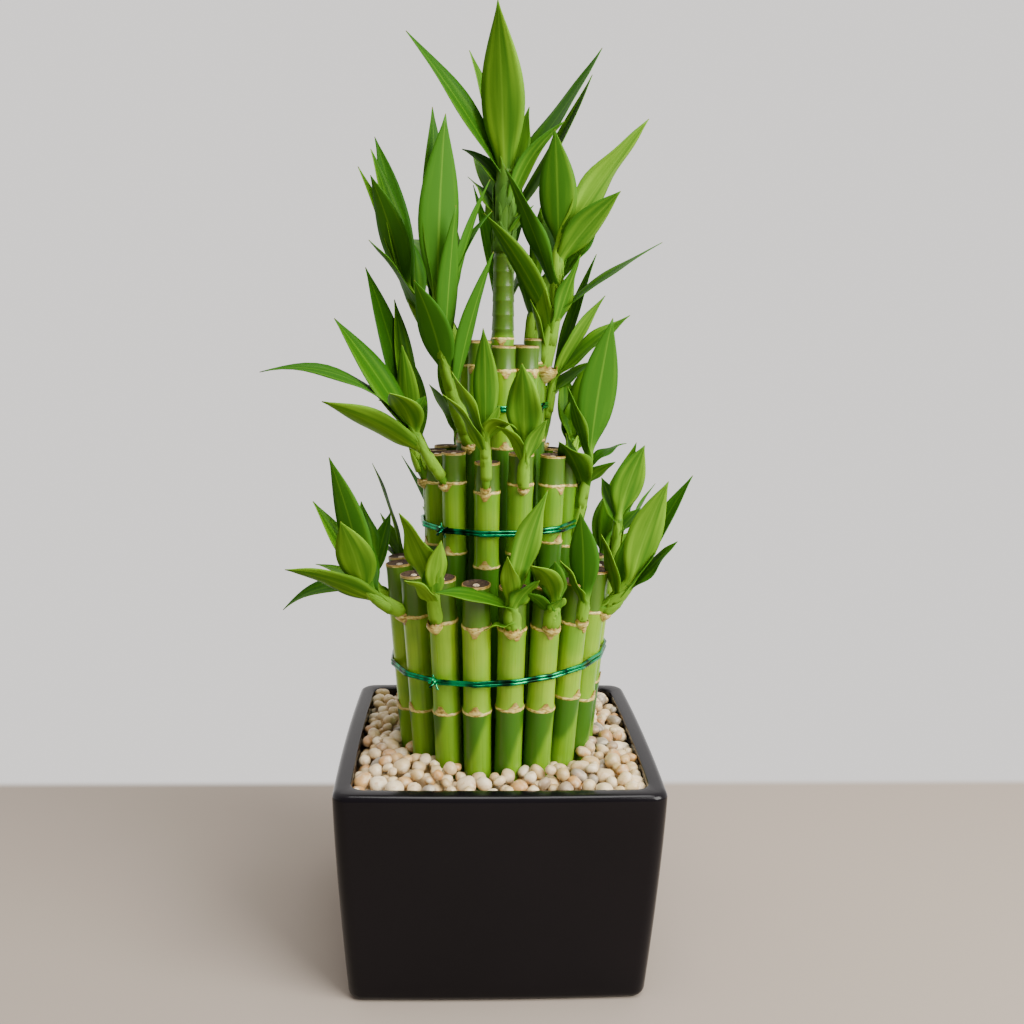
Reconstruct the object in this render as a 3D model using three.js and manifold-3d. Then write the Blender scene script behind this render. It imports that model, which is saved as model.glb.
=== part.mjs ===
// Lucky bamboo (Dracaena sanderiana) grown as a three-tier tower in a square glazed pot.
// Millimetres, +Z up, +Y towards the back. The origin is in the middle of the pot's underside.
// The planting is modelled in a frame of its own, whose origin is on the pot's axis at rim height.

import * as THREE from "three";
import { mergeVertices } from "three/addons/utils/BufferGeometryUtils.js";
import Module from "manifold-3d";

const wasm = await Module();
wasm.setup();

const RAD = Math.PI / 180;

// ---------- driving dimensions ----------

const GAP = 0.3; // clearance between pieces that touch
const SHORTEST_EDGE = 0.04;

const POT_HALF_WIDTH = 72.2; // at the widest, just under the rim
const POT_HEIGHT = 98;
const POT_TAPER = 6; // how much each side draws in from rim to foot
const POT_TAPER_POWER = 1.37; // over 1, so the sides are gently convex
const POT_CORNER = 7; // plan radius of the corners
const POT_BOW = 1; // how far each side bulges in plan
const POT_WALL = 7.8;
const POT_FLOOR = 8;

const PEBBLE_LEVEL = -4; // top of the pebbles, below the rim
const BUNDLE_HOLE = 46.2; // radius that the tied canes take up in the pebbles
const BUNDLE_SEAT = -16; // the pebbles under the canes, just clear of their tilted feet

const CANE_BOTTOM = -15; // every cane stands this far below the rim
const CANE_SIDES = 8;

// Three rings of tied canes. The angles are seen from above, from the front towards the right.
// The nodes are the usual heights above the rim; lowNodes are each cane's own lower one.
const TIERS = {
  outer: {
    ring: 39.8, lean: 4.7, length: 100, radius: 6.2, nodeRadius: 6.5, nodes: [27, 66],
    angles: [-80, -56, -34, -14, 5.5, 25, 45.5, 65.5, 85, 105, 125, 144.5, 164, 183.5, 203, 222.5, 242, 261],
    lowNodes: [17, 22, 24.5, 27, 29.5, 28, 31, 25, 29, 24, 30, 22, 27, 32, 25, 29, 21, 24],
  },
  middle: {
    ring: 26.9, lean: 1.7, length: 152.5, radius: 5.5, nodeRadius: 5.75, nodes: [95, 124],
    angles: [-72, -44, -13, 14.5, 46, 75, 102, 129, 156, 183, 210, 236, 262],
    lowNodes: [96, 93, 90.5, 94, 99, 96, 92, 97, 94, 99, 91, 96, 93],
  },
  inner: {
    ring: 14.9, lean: 0, length: 200, radius: 5.2, nodeRadius: 5.5, nodes: [140, 174],
    angles: [0, 45, 90, 135, 180, 225, 270, 315],
  },
};

const CENTRE = { length: 240, radius: 5.0, nodeRadius: 5.4, nodes: [140, 187] };

// Height of each tie, how much it rises per millimetre towards the right, and where its knot sits.
const TIES = {
  outer: { height: 42, tilt: 0.09, knotAngle: -34 },
  middle: { height: 104.5, tilt: 0.02, knotAngle: -44 },
  inner: { height: 157, tilt: 0.07, knotAngle: 45 },
};
const TIE_THICKNESS = 1.1;
const TIE_BREADTH = 3.4;

const LEAF_THICKNESS = 1.0;
const LEAF_FOLD = 0.22; // how far the edges stand above the midrib, per millimetre of half width
// Half width of a blade along its length, as fractions, from the clasping base to the tip.
const LEAF_OUTLINE = [[0, 0], [0.05, 0.38], [0.42, 1], [0.78, 0.6], [1, 0]];
const LEAF_SEAT = 0.22; // how far from the stem's axis a blade starts, as a part of the stem's girth
const STEM_SIDES = 5;

// ---------- shoots ----------
// A shoot leaves its cane at a node, in the direction of azimuth (degrees from +X towards the back),
// and its stem turns from the first rise to the second over its length. Each row of leaves holds
// [place along the stem, turn from the stem's azimuth, rise at the base, length, width, droop, roll].

const SHOOTS = [
  {
    name: "crown_shoot", azimuth: 270, rise: [90, 90], length: 44, girth: 10.5, height: 225.3,
    leaves: [
      [0.8, -15, 80, 68, 20, 6, 0],
      [0.75, -85, 60, 73, 12, 12, -45],
      [0.85, -125, 75, 54, 9, 10, 0],
      [0.7, 95, 50, 71, 12, -10, 30],
      [0.25, 100, 55, 77, 9, -12, 20],
      [0.3, 75, 85, 52, 9, 50, -20],
      [0.6, -105, 70, 29, 7, 50, -40],
      [0.25, -110, 70, 29, 7, 30, -20],
      [0.1, 70, 65, 21, 8, 20, 0],
      [0.5, 135, 75, 45, 10, 5, 0],
      [0.6, 180, 65, 62, 13, 20, 0],
      [0.35, -160, 55, 55, 11, 30, 0],
    ],
  },
  {
    name: "inner_left_shoot", tier: "inner", cane: 8, height: 140, azimuth: 215, rise: [60, 88], length: 70,
    girth: 8,
    leaves: [
      [0.35, 110, 80, 65, 9, 15, 0],
      [0.55, 140, 90, 81, 9, 25, -25],
      [0.6, 80, 85, 64, 9, 8, 0],
      [0.7, -90, 85, 49, 7, 20, 0],
      [0.8, 165, 85, 56, 7, 40, 20],
      [1, -95, 90, 76, 14, 5, 10],
      [1, 90, 90, 72, 18, 8, -20],
      [0.5, 10, 75, 44, 16, 20, 15],
    ],
  },
  {
    name: "inner_far_left_shoot", tier: "inner", cane: 7, height: 174, azimuth: 190, rise: [40, 70], length: 44,
    girth: 7,
    leaves: [
      [0.35, 25, 65, 56, 10, 25, 0],
      [0.5, -12, 72, 77, 9, 10, -30],
      [0.8, -15, 80, 69, 12, 10, -40],
      [0.9, -45, 82, 72, 10, 15, -35],
      [1, 20, 78, 49, 15, 15, 25],
      [0.7, -80, 70, 50, 11, 25, 0],
    ],
  },
  {
    name: "inner_right_shoot", tier: "inner", cane: 3, height: 174, azimuth: 340, rise: [75, 92], length: 56,
    girth: 7.5,
    leaves: [
      [0.1, -145, 80, 27, 7, 10, 0],
      [0.2, -115, 80, 35, 8, 10, 0],
      [0.35, -140, 65, 59, 10, 20, 40],
      [0.3, -25, 70, 37, 9, 5, 0],
      [0.45, 15, 40, 57, 9, 10, 20],
      [0.6, -145, 70, 59, 9, 10, 20],
      [0.7, 40, 60, 37, 9, 10, 20],
      [0.85, -5, 55, 41, 12, 15, -40],
      [1, 15, 60, 65, 13, 10, -40],
      [1, -90, 80, 48, 17, 8, 0],
      [0.8, 110, 65, 48, 12, 25, 0],
    ],
  },
  {
    name: "inner_low_right_shoot", tier: "inner", cane: 3, height: 140, azimuth: 10, rise: [75, 85], length: 30,
    girth: 5.5,
    leaves: [
      [1, -15, 65, 44, 10, 10, -30],
      [1, 10, 45, 49, 9, 15, 20],
      [0.8, 0, 45, 24, 9, 15, 20],
      [0.9, 20, 75, 64, 8, 10, 0],
    ],
  },
  {
    name: "middle_far_left_shoot", tier: "middle", cane: 1, height: 124, azimuth: 185, rise: [60, 85], length: 26,
    girth: 8,
    leaves: [
      [1, -15, 80, 72, 15, 12, -25],
      [0.9, -50, 85, 59, 10, 10, 0],
      [0.8, 60, 80, 42, 9, 5, 0],
      [0.6, -90, 70, 45, 11, 25, 0],
    ],
  },
  {
    name: "middle_left_shoot", tier: "middle", cane: 2, height: 124, azimuth: 215, rise: [45, 70], length: 34,
    girth: 5.5,
    leaves: [
      [0.55, -25, 35, 49, 13, 15, 40],
      [0.7, -45, 60, 64, 16, 10, -20],
      [0.8, -30, 60, 76, 8, 75, -15],
      [0.85, 30, 65, 30, 15, 50, 0],
      [1, 105, 60, 14, 8, 10, 0],
    ],
  },
  {
    name: "middle_front_left_shoot", tier: "middle", cane: 3, height: 124, azimuth: 262, rise: [70, 90], length: 24,
    girth: 5.5,
    leaves: [
      [0.6, -60, 70, 34, 7, 30, 20],
      [0.8, -65, 70, 35, 8, 10, 20],
      [1, -5, 95, 46, 9, 30, 0],
      [0.9, 55, 75, 23, 8, 110, -20],
      [0.85, 50, 75, 19, 7, 20, 0],
    ],
  },
  {
    name: "middle_front_right_shoot", tier: "middle", cane: 4, height: 124, azimuth: 280, rise: [70, 90], length: 20,
    girth: 6,
    leaves: [
      [1, -25, 80, 36, 13, 10, 0],
      [0.6, 35, 70, 23, 8, 20, 0],
      [0.5, -60, 85, 27, 7, 70, 0],
    ],
  },
  {
    name: "middle_right_shoot", tier: "middle", cane: 6, height: 95, azimuth: 345, rise: [75, 85], length: 44,
    girth: 6.5,
    leaves: [
      [1, -25, 85, 60, 18, 8, -40],
      [0.6, -110, 65, 35, 13, 40, 0],
      [0.8, 40, 55, 25, 7, 50, 0],
      [0.65, -25, 45, 20, 9, 15, -20],
      [0.9, -150, 75, 35, 7, 5, 20],
      [0.5, 145, 75, 31, 9, 10, 0],
    ],
  },
  {
    name: "outer_left_shoot", tier: "outer", cane: 2, height: 66, azimuth: 195, rise: [25, 45], length: 22,
    girth: 8,
    leaves: [
      [0.55, -5, 35, 46, 12, 25, 50],
      [0.75, -25, 60, 50, 10, 5, -20],
      [0.9, -15, 80, 62, 15, 10, 60],
      [1, 45, 70, 38, 17, 15, 20],
      [0.8, -70, 70, 37, 12, 10, 0],
    ],
  },
  {
    name: "outer_front_left_shoot", tier: "outer", cane: 3, height: 66, azimuth: 235, rise: [70, 85], length: 15,
    girth: 8.5,
    leaves: [
      [0.6, -15, 65, 22, 8, 45, 20],
      [0.8, 30, 80, 20, 8, 10, 0],
      [1, -30, 75, 39, 13, 15, 30],
      [1, 50, 70, 28, 8, 10, 0],
    ],
  },
  {
    name: "outer_front_shoot", tier: "outer", cane: 5, height: 66, azimuth: 265, rise: [70, 90], length: 13,
    girth: 8,
    leaves: [
      [0.2, -70, 15, 14, 6, 35, 0],
      [0.75, -70, 30, 36, 8, 30, -20],
      [1, 60, 80, 52, 11, 15, -30],
      [0.9, -5, 65, 28, 7, 10, 0],
      [0.7, 60, 65, 21, 9, 30, -20],
    ],
  },
  {
    name: "outer_front_right_shoot", tier: "outer", cane: 6, height: 66, azimuth: 290, rise: [65, 85], length: 13,
    girth: 9,
    leaves: [
      [0.6, 5, 70, 11, 8, 35, 0],
      [1, -50, 65, 31, 12, 45, 0],
      [0.9, -25, 80, 23, 9, 25, 0],
      [0.5, -85, 55, 19, 7, 30, 20],
    ],
  },
  {
    name: "outer_right_shoot", tier: "outer", cane: 8, height: 66, azimuth: 340, rise: [35, 60], length: 20,
    girth: 9,
    leaves: [
      [0.15, 0, 55, 35, 8, 5, 20],
      [0.75, 15, 50, 33, 9, 5, 20],
      [1, -5, 80, 50, 16, 15, -60],
      [0.9, 35, 65, 58, 9, 10, 20],
      [0.6, 85, 75, 32, 9, 15, 0],
      [0.5, -140, 80, 32, 10, 10, 0],
    ],
  },
];

// Shoots that are left in one piece with the cane they grew from. Most are on the far side, and
// repeat the habit of a named shoot, turned and a little shorter or longer.
const JOINED_SHOOTS = [
  {
    tier: "outer", cane: 1, height: 66, azimuth: 165, rise: [30, 60], length: 16, girth: 7,
    leaves: [
      [0.4, 10, 25, 52, 10, 70, -20],
      [0.6, -5, 30, 34, 8, 25, 0],
      [0.9, -105, 65, 34, 9, 5, 0],
      [1, -50, 80, 36, 11, 10, 0],
    ],
  },
  {
    tier: "outer", cane: 7, height: 66, azimuth: 300, rise: [65, 85], length: 12, girth: 7,
    leaves: [
      [1, -90, 90, 38, 14, 10, 25],
      [0.7, -90, 70, 25, 8, 20, 0],
    ],
  },
  {
    tier: "outer", cane: 9, height: 66, azimuth: 10, rise: [75, 88], length: 42, girth: 7,
    leaves: [
      [1, -30, 80, 35, 16, 15, -55],
      [0.9, 140, 70, 23, 10, 5, -20],
      [0.8, 25, 45, 18, 8, 15, 0],
      [0.5, 65, -25, 33, 8, 80, 0],
    ],
  },
  { tier: "outer", cane: 11, azimuth: 35, like: "outer_left_shoot", scale: 1 },
  { tier: "outer", cane: 13, azimuth: 70, like: "outer_front_left_shoot", scale: 1.2 },
  { tier: "outer", cane: 15, azimuth: 115, like: "outer_right_shoot", scale: 0.95 },
  { tier: "outer", cane: 17, azimuth: 150, like: "outer_front_shoot", scale: 1 },
  { tier: "middle", cane: 7, azimuth: 55, like: "outer_front_left_shoot", scale: 1.2 },
  { tier: "middle", cane: 9, azimuth: 65, like: "middle_right_shoot", scale: 0.9 },
  { tier: "middle", cane: 11, azimuth: 125, like: "middle_front_right_shoot", scale: 1.3 },
  { tier: "middle", cane: 12, azimuth: 150, like: "middle_left_shoot", scale: 0.8 },
  { tier: "inner", cane: 4, azimuth: 60, like: "middle_right_shoot", scale: 1 },
  { tier: "inner", cane: 5, azimuth: 95, like: "middle_far_left_shoot", scale: 1.4 },
  { tier: "inner", cane: 6, azimuth: 140, like: "middle_left_shoot", scale: 1.2 },
];

// ---------- materials ----------

const GLAZE = new THREE.MeshStandardMaterial({ color: "#17161a", roughness: 0.25, metalness: 0 });
const PEBBLE = new THREE.MeshStandardMaterial({ color: "#d8c9b4", roughness: 0.6, metalness: 0 });
const CANE = new THREE.MeshStandardMaterial({ color: "#7fa63a", roughness: 0.4, metalness: 0 });
const LEAF = new THREE.MeshStandardMaterial({ color: "#4b8424", roughness: 0.45, metalness: 0 });
const FOIL = new THREE.MeshStandardMaterial({ color: "#0d7a4e", roughness: 0.3, metalness: 0.7 });

// ---------- solids ----------

function toSolid(geometry) {
  geometry.deleteAttribute("normal");
  geometry.deleteAttribute("uv");
  const merged = mergeVertices(geometry, 1e-4);
  return new wasm.Manifold(new wasm.Mesh({
    numProp: 3,
    vertProperties: new Float32Array(merged.attributes.position.array),
    triVerts: new Uint32Array(merged.index.array),
  }));
}

function toGeometry(solid) {
  const mesh = solid.getMesh();
  const geometry = new THREE.BufferGeometry();
  geometry.setAttribute("position", new THREE.BufferAttribute(mesh.vertProperties, 3));
  geometry.setIndex(new THREE.BufferAttribute(mesh.triVerts, 1));
  geometry.computeVertexNormals();
  return geometry;
}

// A cut or a join can leave loose slivers and sealed pockets, so only the outer skin of the largest
// body is kept, with edges too short to matter merged away.
function largestBody(solid) {
  const bodies = solid.simplify(SHORTEST_EDGE).decompose();
  return bodies.reduce((best, body) => (body.volume() > best.volume() ? body : best));
}

function meet(a, b) {
  const boxA = a.boundingBox();
  const boxB = b.boundingBox();
  return [0, 1, 2].every((axis) => boxA.min[axis] < boxB.max[axis] && boxB.min[axis] < boxA.max[axis]);
}

function clearOf(solid, obstacles) {
  const near = obstacles.filter((obstacle) => meet(solid, obstacle));
  return near.reduce((rest, obstacle) => rest.subtract(obstacle), solid);
}

function named(name, geometry, material) {
  const mesh = new THREE.Mesh(geometry, material);
  mesh.name = name;
  return mesh;
}

// A body turned about +Z from [radius, height] points.
function turned(profile, sides) {
  const points = profile.map(([radius, height]) => new THREE.Vector2(radius, height));
  return new THREE.LatheGeometry(points, sides).rotateX(Math.PI / 2);
}

// ---------- pot and pebbles ----------

const OUTLINE_STEPS = 8; // points along each quarter of the pot's outline

// The unit plan outline: a square with bowed sides and round corners, from the middle of one side.
function quarterOutline() {
  const corner = POT_CORNER / POT_HALF_WIDTH;
  const bow = POT_BOW / POT_HALF_WIDTH;
  const flat = 1 - corner;
  const points = [];
  const sideSteps = 2;
  const cornerSteps = OUTLINE_STEPS - 2 * sideSteps;
  for (let i = 0; i < sideSteps; i++) {
    const along = (flat * i) / sideSteps;
    points.push([1 - bow * (along / flat) ** 2, along]);
  }
  for (let i = 0; i <= cornerSteps; i++) {
    const turn = (Math.PI / 2) * (i / cornerSteps);
    points.push([flat - bow + corner * Math.cos(turn), flat - bow + corner * Math.sin(turn)]);
  }
  for (let i = sideSteps - 1; i > 0; i--) {
    const along = (flat * i) / sideSteps;
    points.push([along, 1 - bow * (along / flat) ** 2]);
  }
  return points;
}

const QUARTER = quarterOutline();

function outlinePoint(index) {
  const [x, y] = QUARTER[index % OUTLINE_STEPS];
  const quarter = Math.floor(index / OUTLINE_STEPS) % 4;
  return [[x, y], [-y, x], [-x, -y], [y, -x]][quarter];
}

// Turns a round body into one with the pot's plan, outside a core that stays round.
function squared(geometry, roundCore) {
  const position = geometry.attributes.position;
  const sides = 4 * OUTLINE_STEPS;
  for (let i = 0; i < position.count; i++) {
    const x = position.getX(i);
    const y = position.getY(i);
    const radius = Math.hypot(x, y);
    if (radius > roundCore) {
      const turn = Math.atan2(y, x) / (2 * Math.PI) + 1;
      const [unitX, unitY] = outlinePoint(Math.round(turn * sides) % sides);
      position.setXY(i, radius * unitX, radius * unitY);
    }
  }
  return geometry;
}

function potHalfWidth(height) {
  const down = (POT_HEIGHT - height) / POT_HEIGHT;
  return POT_HALF_WIDTH - POT_TAPER * down ** POT_TAPER_POWER;
}

function wallPoints(heights, inset) {
  return heights.map((height) => [potHalfWidth(height) - inset, height]);
}

function potGeometry() {
  const footEdge = potHalfWidth(0);
  const profile = [
    [0, 0],
    [footEdge - 4, 0],
    [footEdge - 1.2, 1.2],
    ...wallPoints([4, 36, 66, 94.5], 0),
    [POT_HALF_WIDTH - 1.2, POT_HEIGHT - 0.9],
    [POT_HALF_WIDTH - 3.4, POT_HEIGHT],
    ...wallPoints([96, 52, POT_FLOOR + 5], POT_WALL),
    [potHalfWidth(POT_FLOOR) - POT_WALL - 4, POT_FLOOR],
    [0, POT_FLOOR],
  ];
  return toGeometry(largestBody(toSolid(squared(turned(profile, 4 * OUTLINE_STEPS), 0))));
}

function pebbleBedGeometry() {
  const inset = POT_WALL + GAP;
  const top = POT_HEIGHT + PEBBLE_LEVEL;
  const seat = POT_HEIGHT + BUNDLE_SEAT;
  const profile = [
    [0, POT_FLOOR + GAP],
    [potHalfWidth(POT_FLOOR) - inset - 4.5, POT_FLOOR + GAP],
    ...wallPoints([POT_FLOOR + 5.5, 52, top], inset),
    [BUNDLE_HOLE, top],
    [BUNDLE_HOLE, seat],
    [0, seat],
  ];
  return toGeometry(largestBody(toSolid(squared(turned(profile, 4 * OUTLINE_STEPS), BUNDLE_HOLE + 0.01))));
}

// ---------- canes ----------

// A cane from its cut foot to its cut top, with a raised ring at each node. The heights are from
// the rim, and grow is added all round to make the room that its neighbours leave for it.
function caneProfile({ length, radius, nodeRadius }, nodes, grow) {
  const bottom = CANE_BOTTOM - grow;
  const top = CANE_BOTTOM + length + grow;
  const rings = nodes.flatMap((node) => [
    [radius + grow, node - 2],
    [nodeRadius + grow, node],
    [radius + grow, node + 2],
  ]);
  return [[0, bottom], [radius + grow, bottom], ...rings, [radius + grow, top], [0, top]];
}

function caneGeometry(tier, angle, grow = 0) {
  const low = tier.lowNodes?.[tier.angles.indexOf(angle)] ?? tier.nodes[0];
  const geometry = turned(caneProfile(tier, [low, tier.nodes[1]], grow), CANE_SIDES);
  const turn = (angle - 90) * RAD;
  geometry.rotateY((tier.lean ?? 0) * RAD);
  geometry.translate(tier.ring ?? 0, 0, 0);
  return geometry.rotateZ(turn);
}

// The centre line of a cane at a height above the rim.
function caneAxis(tier, angle, height) {
  const out = tier.ring + Math.tan(tier.lean * RAD) * height;
  const turn = (angle - 90) * RAD;
  return new THREE.Vector3(out * Math.cos(turn), out * Math.sin(turn), height);
}

// ---------- ties ----------

// The centre of a cane at the height where the tilted tie passes it.
function atTie(tier, tie, angle) {
  const level = caneAxis(tier, angle, tie.height);
  return caneAxis(tier, angle, tie.height + tie.tilt * level.x);
}

// The taut path round a ring of canes: it lies on each cane for a short arc and runs straight between.
function tiePath(tier, tie) {
  const count = tier.angles.length;
  const reach = tier.radius + 1.5 * GAP + TIE_THICKNESS / 2;
  const path = [];
  for (let i = 0; i < count; i++) {
    const angle = tier.angles[i];
    const before = (tier.angles[(i + count - 1) % count] - angle - 360) % 360;
    const after = (tier.angles[(i + 1) % count] - angle + 360) % 360;
    for (const turn of [before / 2, after / 2]) {
      const point = atTie(tier, tie, angle);
      const heading = (angle + turn - 90) * RAD;
      point.x += reach * Math.cos(heading);
      point.y += reach * Math.sin(heading);
      path.push(point);
    }
  }
  return path;
}

function bandGeometry(path) {
  const positions = [];
  const index = [];
  const corners = [[-1, -1], [1, -1], [1, 1], [-1, 1]];
  path.forEach((point) => {
    const out = Math.hypot(point.x, point.y);
    for (const [side, up] of corners) {
      const scale = 1 + (side * TIE_THICKNESS) / 2 / out;
      positions.push(point.x * scale, point.y * scale, point.z + (up * TIE_BREADTH) / 2);
    }
  });
  for (let i = 0; i < path.length; i++) {
    const here = 4 * i;
    const next = 4 * ((i + 1) % path.length);
    for (let k = 0; k < 4; k++) {
      const m = (k + 1) % 4;
      index.push(here + k, next + k, next + m, here + k, next + m, here + m);
    }
  }
  const geometry = new THREE.BufferGeometry();
  geometry.setAttribute("position", new THREE.Float32BufferAttribute(positions, 3));
  geometry.setIndex(index);
  return geometry;
}

// A twisted knot with two snipped tails, standing off the band.
function knotSolid(tier, tie) {
  const place = atTie(tier, tie, tie.knotAngle);
  const heading = (tie.knotAngle - 90) * RAD;
  const off = tier.radius + GAP + TIE_THICKNESS + 1;
  place.x += off * Math.cos(heading);
  place.y += off * Math.sin(heading);
  const twist = new THREE.SphereGeometry(2.2, 6, 4).scale(1, 0.8, 1);
  const tails = [35, 150].map((tilt) =>
    new THREE.CylinderGeometry(0.5, 0.7, 6, 4).translate(0, 3, 0).rotateX(Math.PI / 2).rotateY(tilt * RAD));
  return [twist, ...tails]
    .map((geometry) => toSolid(geometry.rotateZ(heading + Math.PI / 2).translate(place.x, place.y, place.z)))
    .reduce((sum, solid) => sum.add(solid));
}

function tieSolid(tier, tie) {
  return toSolid(bandGeometry(tiePath(tier, tie))).add(knotSolid(tier, tie));
}

// ---------- shoots and leaves ----------

// A line that starts in one direction and turns evenly downwards by droop over its length.
function arc(start, azimuth, rise, droop, length) {
  const heading = azimuth * RAD;
  const first = rise * RAD;
  const bend = (droop * RAD) / length;
  return (along) => {
    const angle = first - bend * along;
    let out = along * Math.cos(first);
    let up = along * Math.sin(first);
    if (Math.abs(droop) > 0.01) {
      out = (Math.sin(first) - Math.sin(angle)) / bend;
      up = (Math.cos(angle) - Math.cos(first)) / bend;
    }
    const ahead = new THREE.Vector3(
      Math.cos(angle) * Math.cos(heading),
      Math.cos(angle) * Math.sin(heading),
      Math.sin(angle),
    );
    const side = new THREE.Vector3(-Math.sin(heading), Math.cos(heading), 0);
    const point = new THREE.Vector3(out * Math.cos(heading), out * Math.sin(heading), up).add(start);
    return { point, ahead, side, face: ahead.clone().cross(side) };
  };
}

// Lays a body that was turned about +Z along an arc, with its X across and its Y out of the face.
function laidAlong(geometry, line, roll = 0) {
  const position = geometry.attributes.position;
  const place = new THREE.Vector3();
  for (let i = 0; i < position.count; i++) {
    place.fromBufferAttribute(position, i);
    const { point, side, face } = line(place.z);
    const across = side.clone().multiplyScalar(Math.cos(roll)).addScaledVector(face, Math.sin(roll));
    const out = face.clone().multiplyScalar(Math.cos(roll)).addScaledVector(side, -Math.sin(roll));
    point.addScaledVector(across, place.x).addScaledVector(out, place.y);
    position.setXYZ(i, point.x, point.y, point.z);
  }
  return geometry;
}

// A blade that starts just inside the skin of the stem, on the side that it grows towards.
function leafSolid(stem, row, shoot, grow) {
  const { azimuth, scale, girth } = shoot;
  const [at, turn, rise, fullLength, fullWidth, droop, roll] = row;
  const heading = (azimuth + turn) * RAD;
  const start = stem(at).point;
  start.x += LEAF_SEAT * girth * Math.cos(heading);
  start.y += LEAF_SEAT * girth * Math.sin(heading);
  const length = fullLength * scale;
  const half = (fullWidth * scale) / 2 + grow;
  const thickness = LEAF_THICKNESS + 2 * grow;
  const profile = LEAF_OUTLINE.map(([along, wide]) => [wide * half, along * (length + grow)]);
  const geometry = turned(profile, 4);
  const position = geometry.attributes.position;
  for (let i = 0; i < position.count; i++) {
    const x = position.getX(i);
    const y = position.getY(i) * (thickness / (2 * half));
    position.setY(i, y + LEAF_FOLD * Math.abs(x));
  }
  const line = arc(start, azimuth + turn, rise, droop, length);
  return toSolid(laidAlong(geometry, line, roll * RAD));
}

function shootSolid(shoot, grow) {
  const { start, azimuth, rise, length, girth, leaves, scale } = shoot;
  const stemLength = length * scale;
  const line = arc(start, azimuth, rise[0], rise[0] - rise[1], stemLength);
  const base = (girth / 2) * 0.85 + grow;
  const tip = (girth / 2) * 0.55 + grow;
  const profile = [
    [0, -1], [base, -1], [(girth / 2) + grow, stemLength * 0.35], [tip, stemLength], [0, stemLength + 1 + grow],
  ];
  const stem = toSolid(laidAlong(turned(profile, STEM_SIDES), line));
  const along = (at) => line(at * stemLength);
  return leaves.reduce((sum, row) => sum.add(leafSolid(along, row, shoot, grow)), stem);
}

// Fills in where a shoot starts, and what it takes over from the shoot that it repeats.
function placedShoot(shoot) {
  const habit = SHOOTS.find((other) => other.name === shoot.like) ?? shoot;
  const placed = { scale: 1, ...habit, ...shoot, name: shoot.name };
  const tier = TIERS[placed.tier];
  placed.start = new THREE.Vector3(0, 0, placed.height);
  if (tier) {
    const heading = placed.azimuth * RAD;
    placed.height = shoot.height ?? tier.nodes[1];
    placed.start = caneAxis(tier, tier.angles[placed.cane - 1], placed.height);
    placed.start.x += tier.radius * 0.7 * Math.cos(heading);
    placed.start.y += tier.radius * 0.7 * Math.sin(heading);
  }
  return placed;
}

// ---------- assembly ----------

const twoDigits = (number) => String(number).padStart(2, "0");

const canes = Object.entries(TIERS).flatMap(([tierName, tier]) => tier.angles.map((angle, i) => ({
  key: `${tierName} ${i + 1}`,
  name: `${tierName}_cane_${twoDigits(i + 1)}`,
  solid: toSolid(caneGeometry(tier, angle)),
  room: toSolid(caneGeometry(tier, angle, GAP)),
})));
canes.push({
  key: "centre",
  name: "centre_cane",
  solid: toSolid(caneGeometry(CENTRE, 0)),
  room: toSolid(caneGeometry(CENTRE, 0, GAP)),
});

const planting = new THREE.Group();
planting.position.z = POT_HEIGHT;

const ties = Object.entries(TIES).map(([tierName, tie]) => ({
  name: `${tierName}_tie`,
  solid: tieSolid(TIERS[tierName], tie),
}));

// Each shoot keeps clear of the canes, the ties and the shoots before it.
const obstacles = [...ties.map((tie) => tie.solid)];
const shoots = [...SHOOTS, ...JOINED_SHOOTS].map(placedShoot).map((shoot) => {
  const own = shoot.name ? null : canes.find((cane) => cane.key === `${shoot.tier} ${shoot.cane}`);
  const others = canes.filter((cane) => cane !== own).map((cane) => cane.room);
  const solid = largestBody(clearOf(shootSolid(shoot, 0), [...others, ...obstacles]));
  obstacles.push(shootSolid(shoot, GAP));
  if (own) own.solid = largestBody(own.solid.add(solid));
  return { name: shoot.name, solid };
});

canes.forEach((cane) => planting.add(named(cane.name, toGeometry(cane.solid), CANE)));
ties.forEach((tie) => planting.add(named(tie.name, toGeometry(tie.solid), FOIL)));
shoots.filter((shoot) => shoot.name).forEach((shoot) => {
  planting.add(named(shoot.name, toGeometry(shoot.solid), LEAF));
});

const luckyBamboo = new THREE.Group();
luckyBamboo.add(named("pot", potGeometry(), GLAZE));
luckyBamboo.add(named("pebble_bed", pebbleBedGeometry(), PEBBLE));
luckyBamboo.add(planting);

export default luckyBamboo;
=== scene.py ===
"""Lucky bamboo tower in a glazed pot: the finish of every piece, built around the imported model.

The tables list lengths in millimetres and angles in degrees. The planting's heights count from the
pot's rim. Everything in the scene is in metres, +Z up, with -Y towards the viewer.
"""

import math
import random
from contextlib import contextmanager

import bmesh
import bpy
import numpy as np
from bpy.props import FloatProperty, FloatVectorProperty, IntProperty, PointerProperty
from mathutils import Euler, Matrix, Quaternion, Vector


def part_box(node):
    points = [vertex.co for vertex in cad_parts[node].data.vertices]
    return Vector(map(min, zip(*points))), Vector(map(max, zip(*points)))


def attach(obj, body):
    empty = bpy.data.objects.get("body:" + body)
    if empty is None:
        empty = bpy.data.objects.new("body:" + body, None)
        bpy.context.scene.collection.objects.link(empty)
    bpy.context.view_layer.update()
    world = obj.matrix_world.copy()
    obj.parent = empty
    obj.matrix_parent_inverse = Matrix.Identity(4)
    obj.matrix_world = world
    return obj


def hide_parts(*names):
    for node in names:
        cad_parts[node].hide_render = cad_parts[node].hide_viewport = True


bl_info = {
    "name": "Lucky Bamboo Tower",
    "version": (1, 0, 0),
    "blender": (4, 5, 0),
    "location": "View3D > Sidebar > Lucky Bamboo",
    "description": "Models and finishes a potted tower of tied lucky bamboo canes",
    "category": "Object",
}

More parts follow.
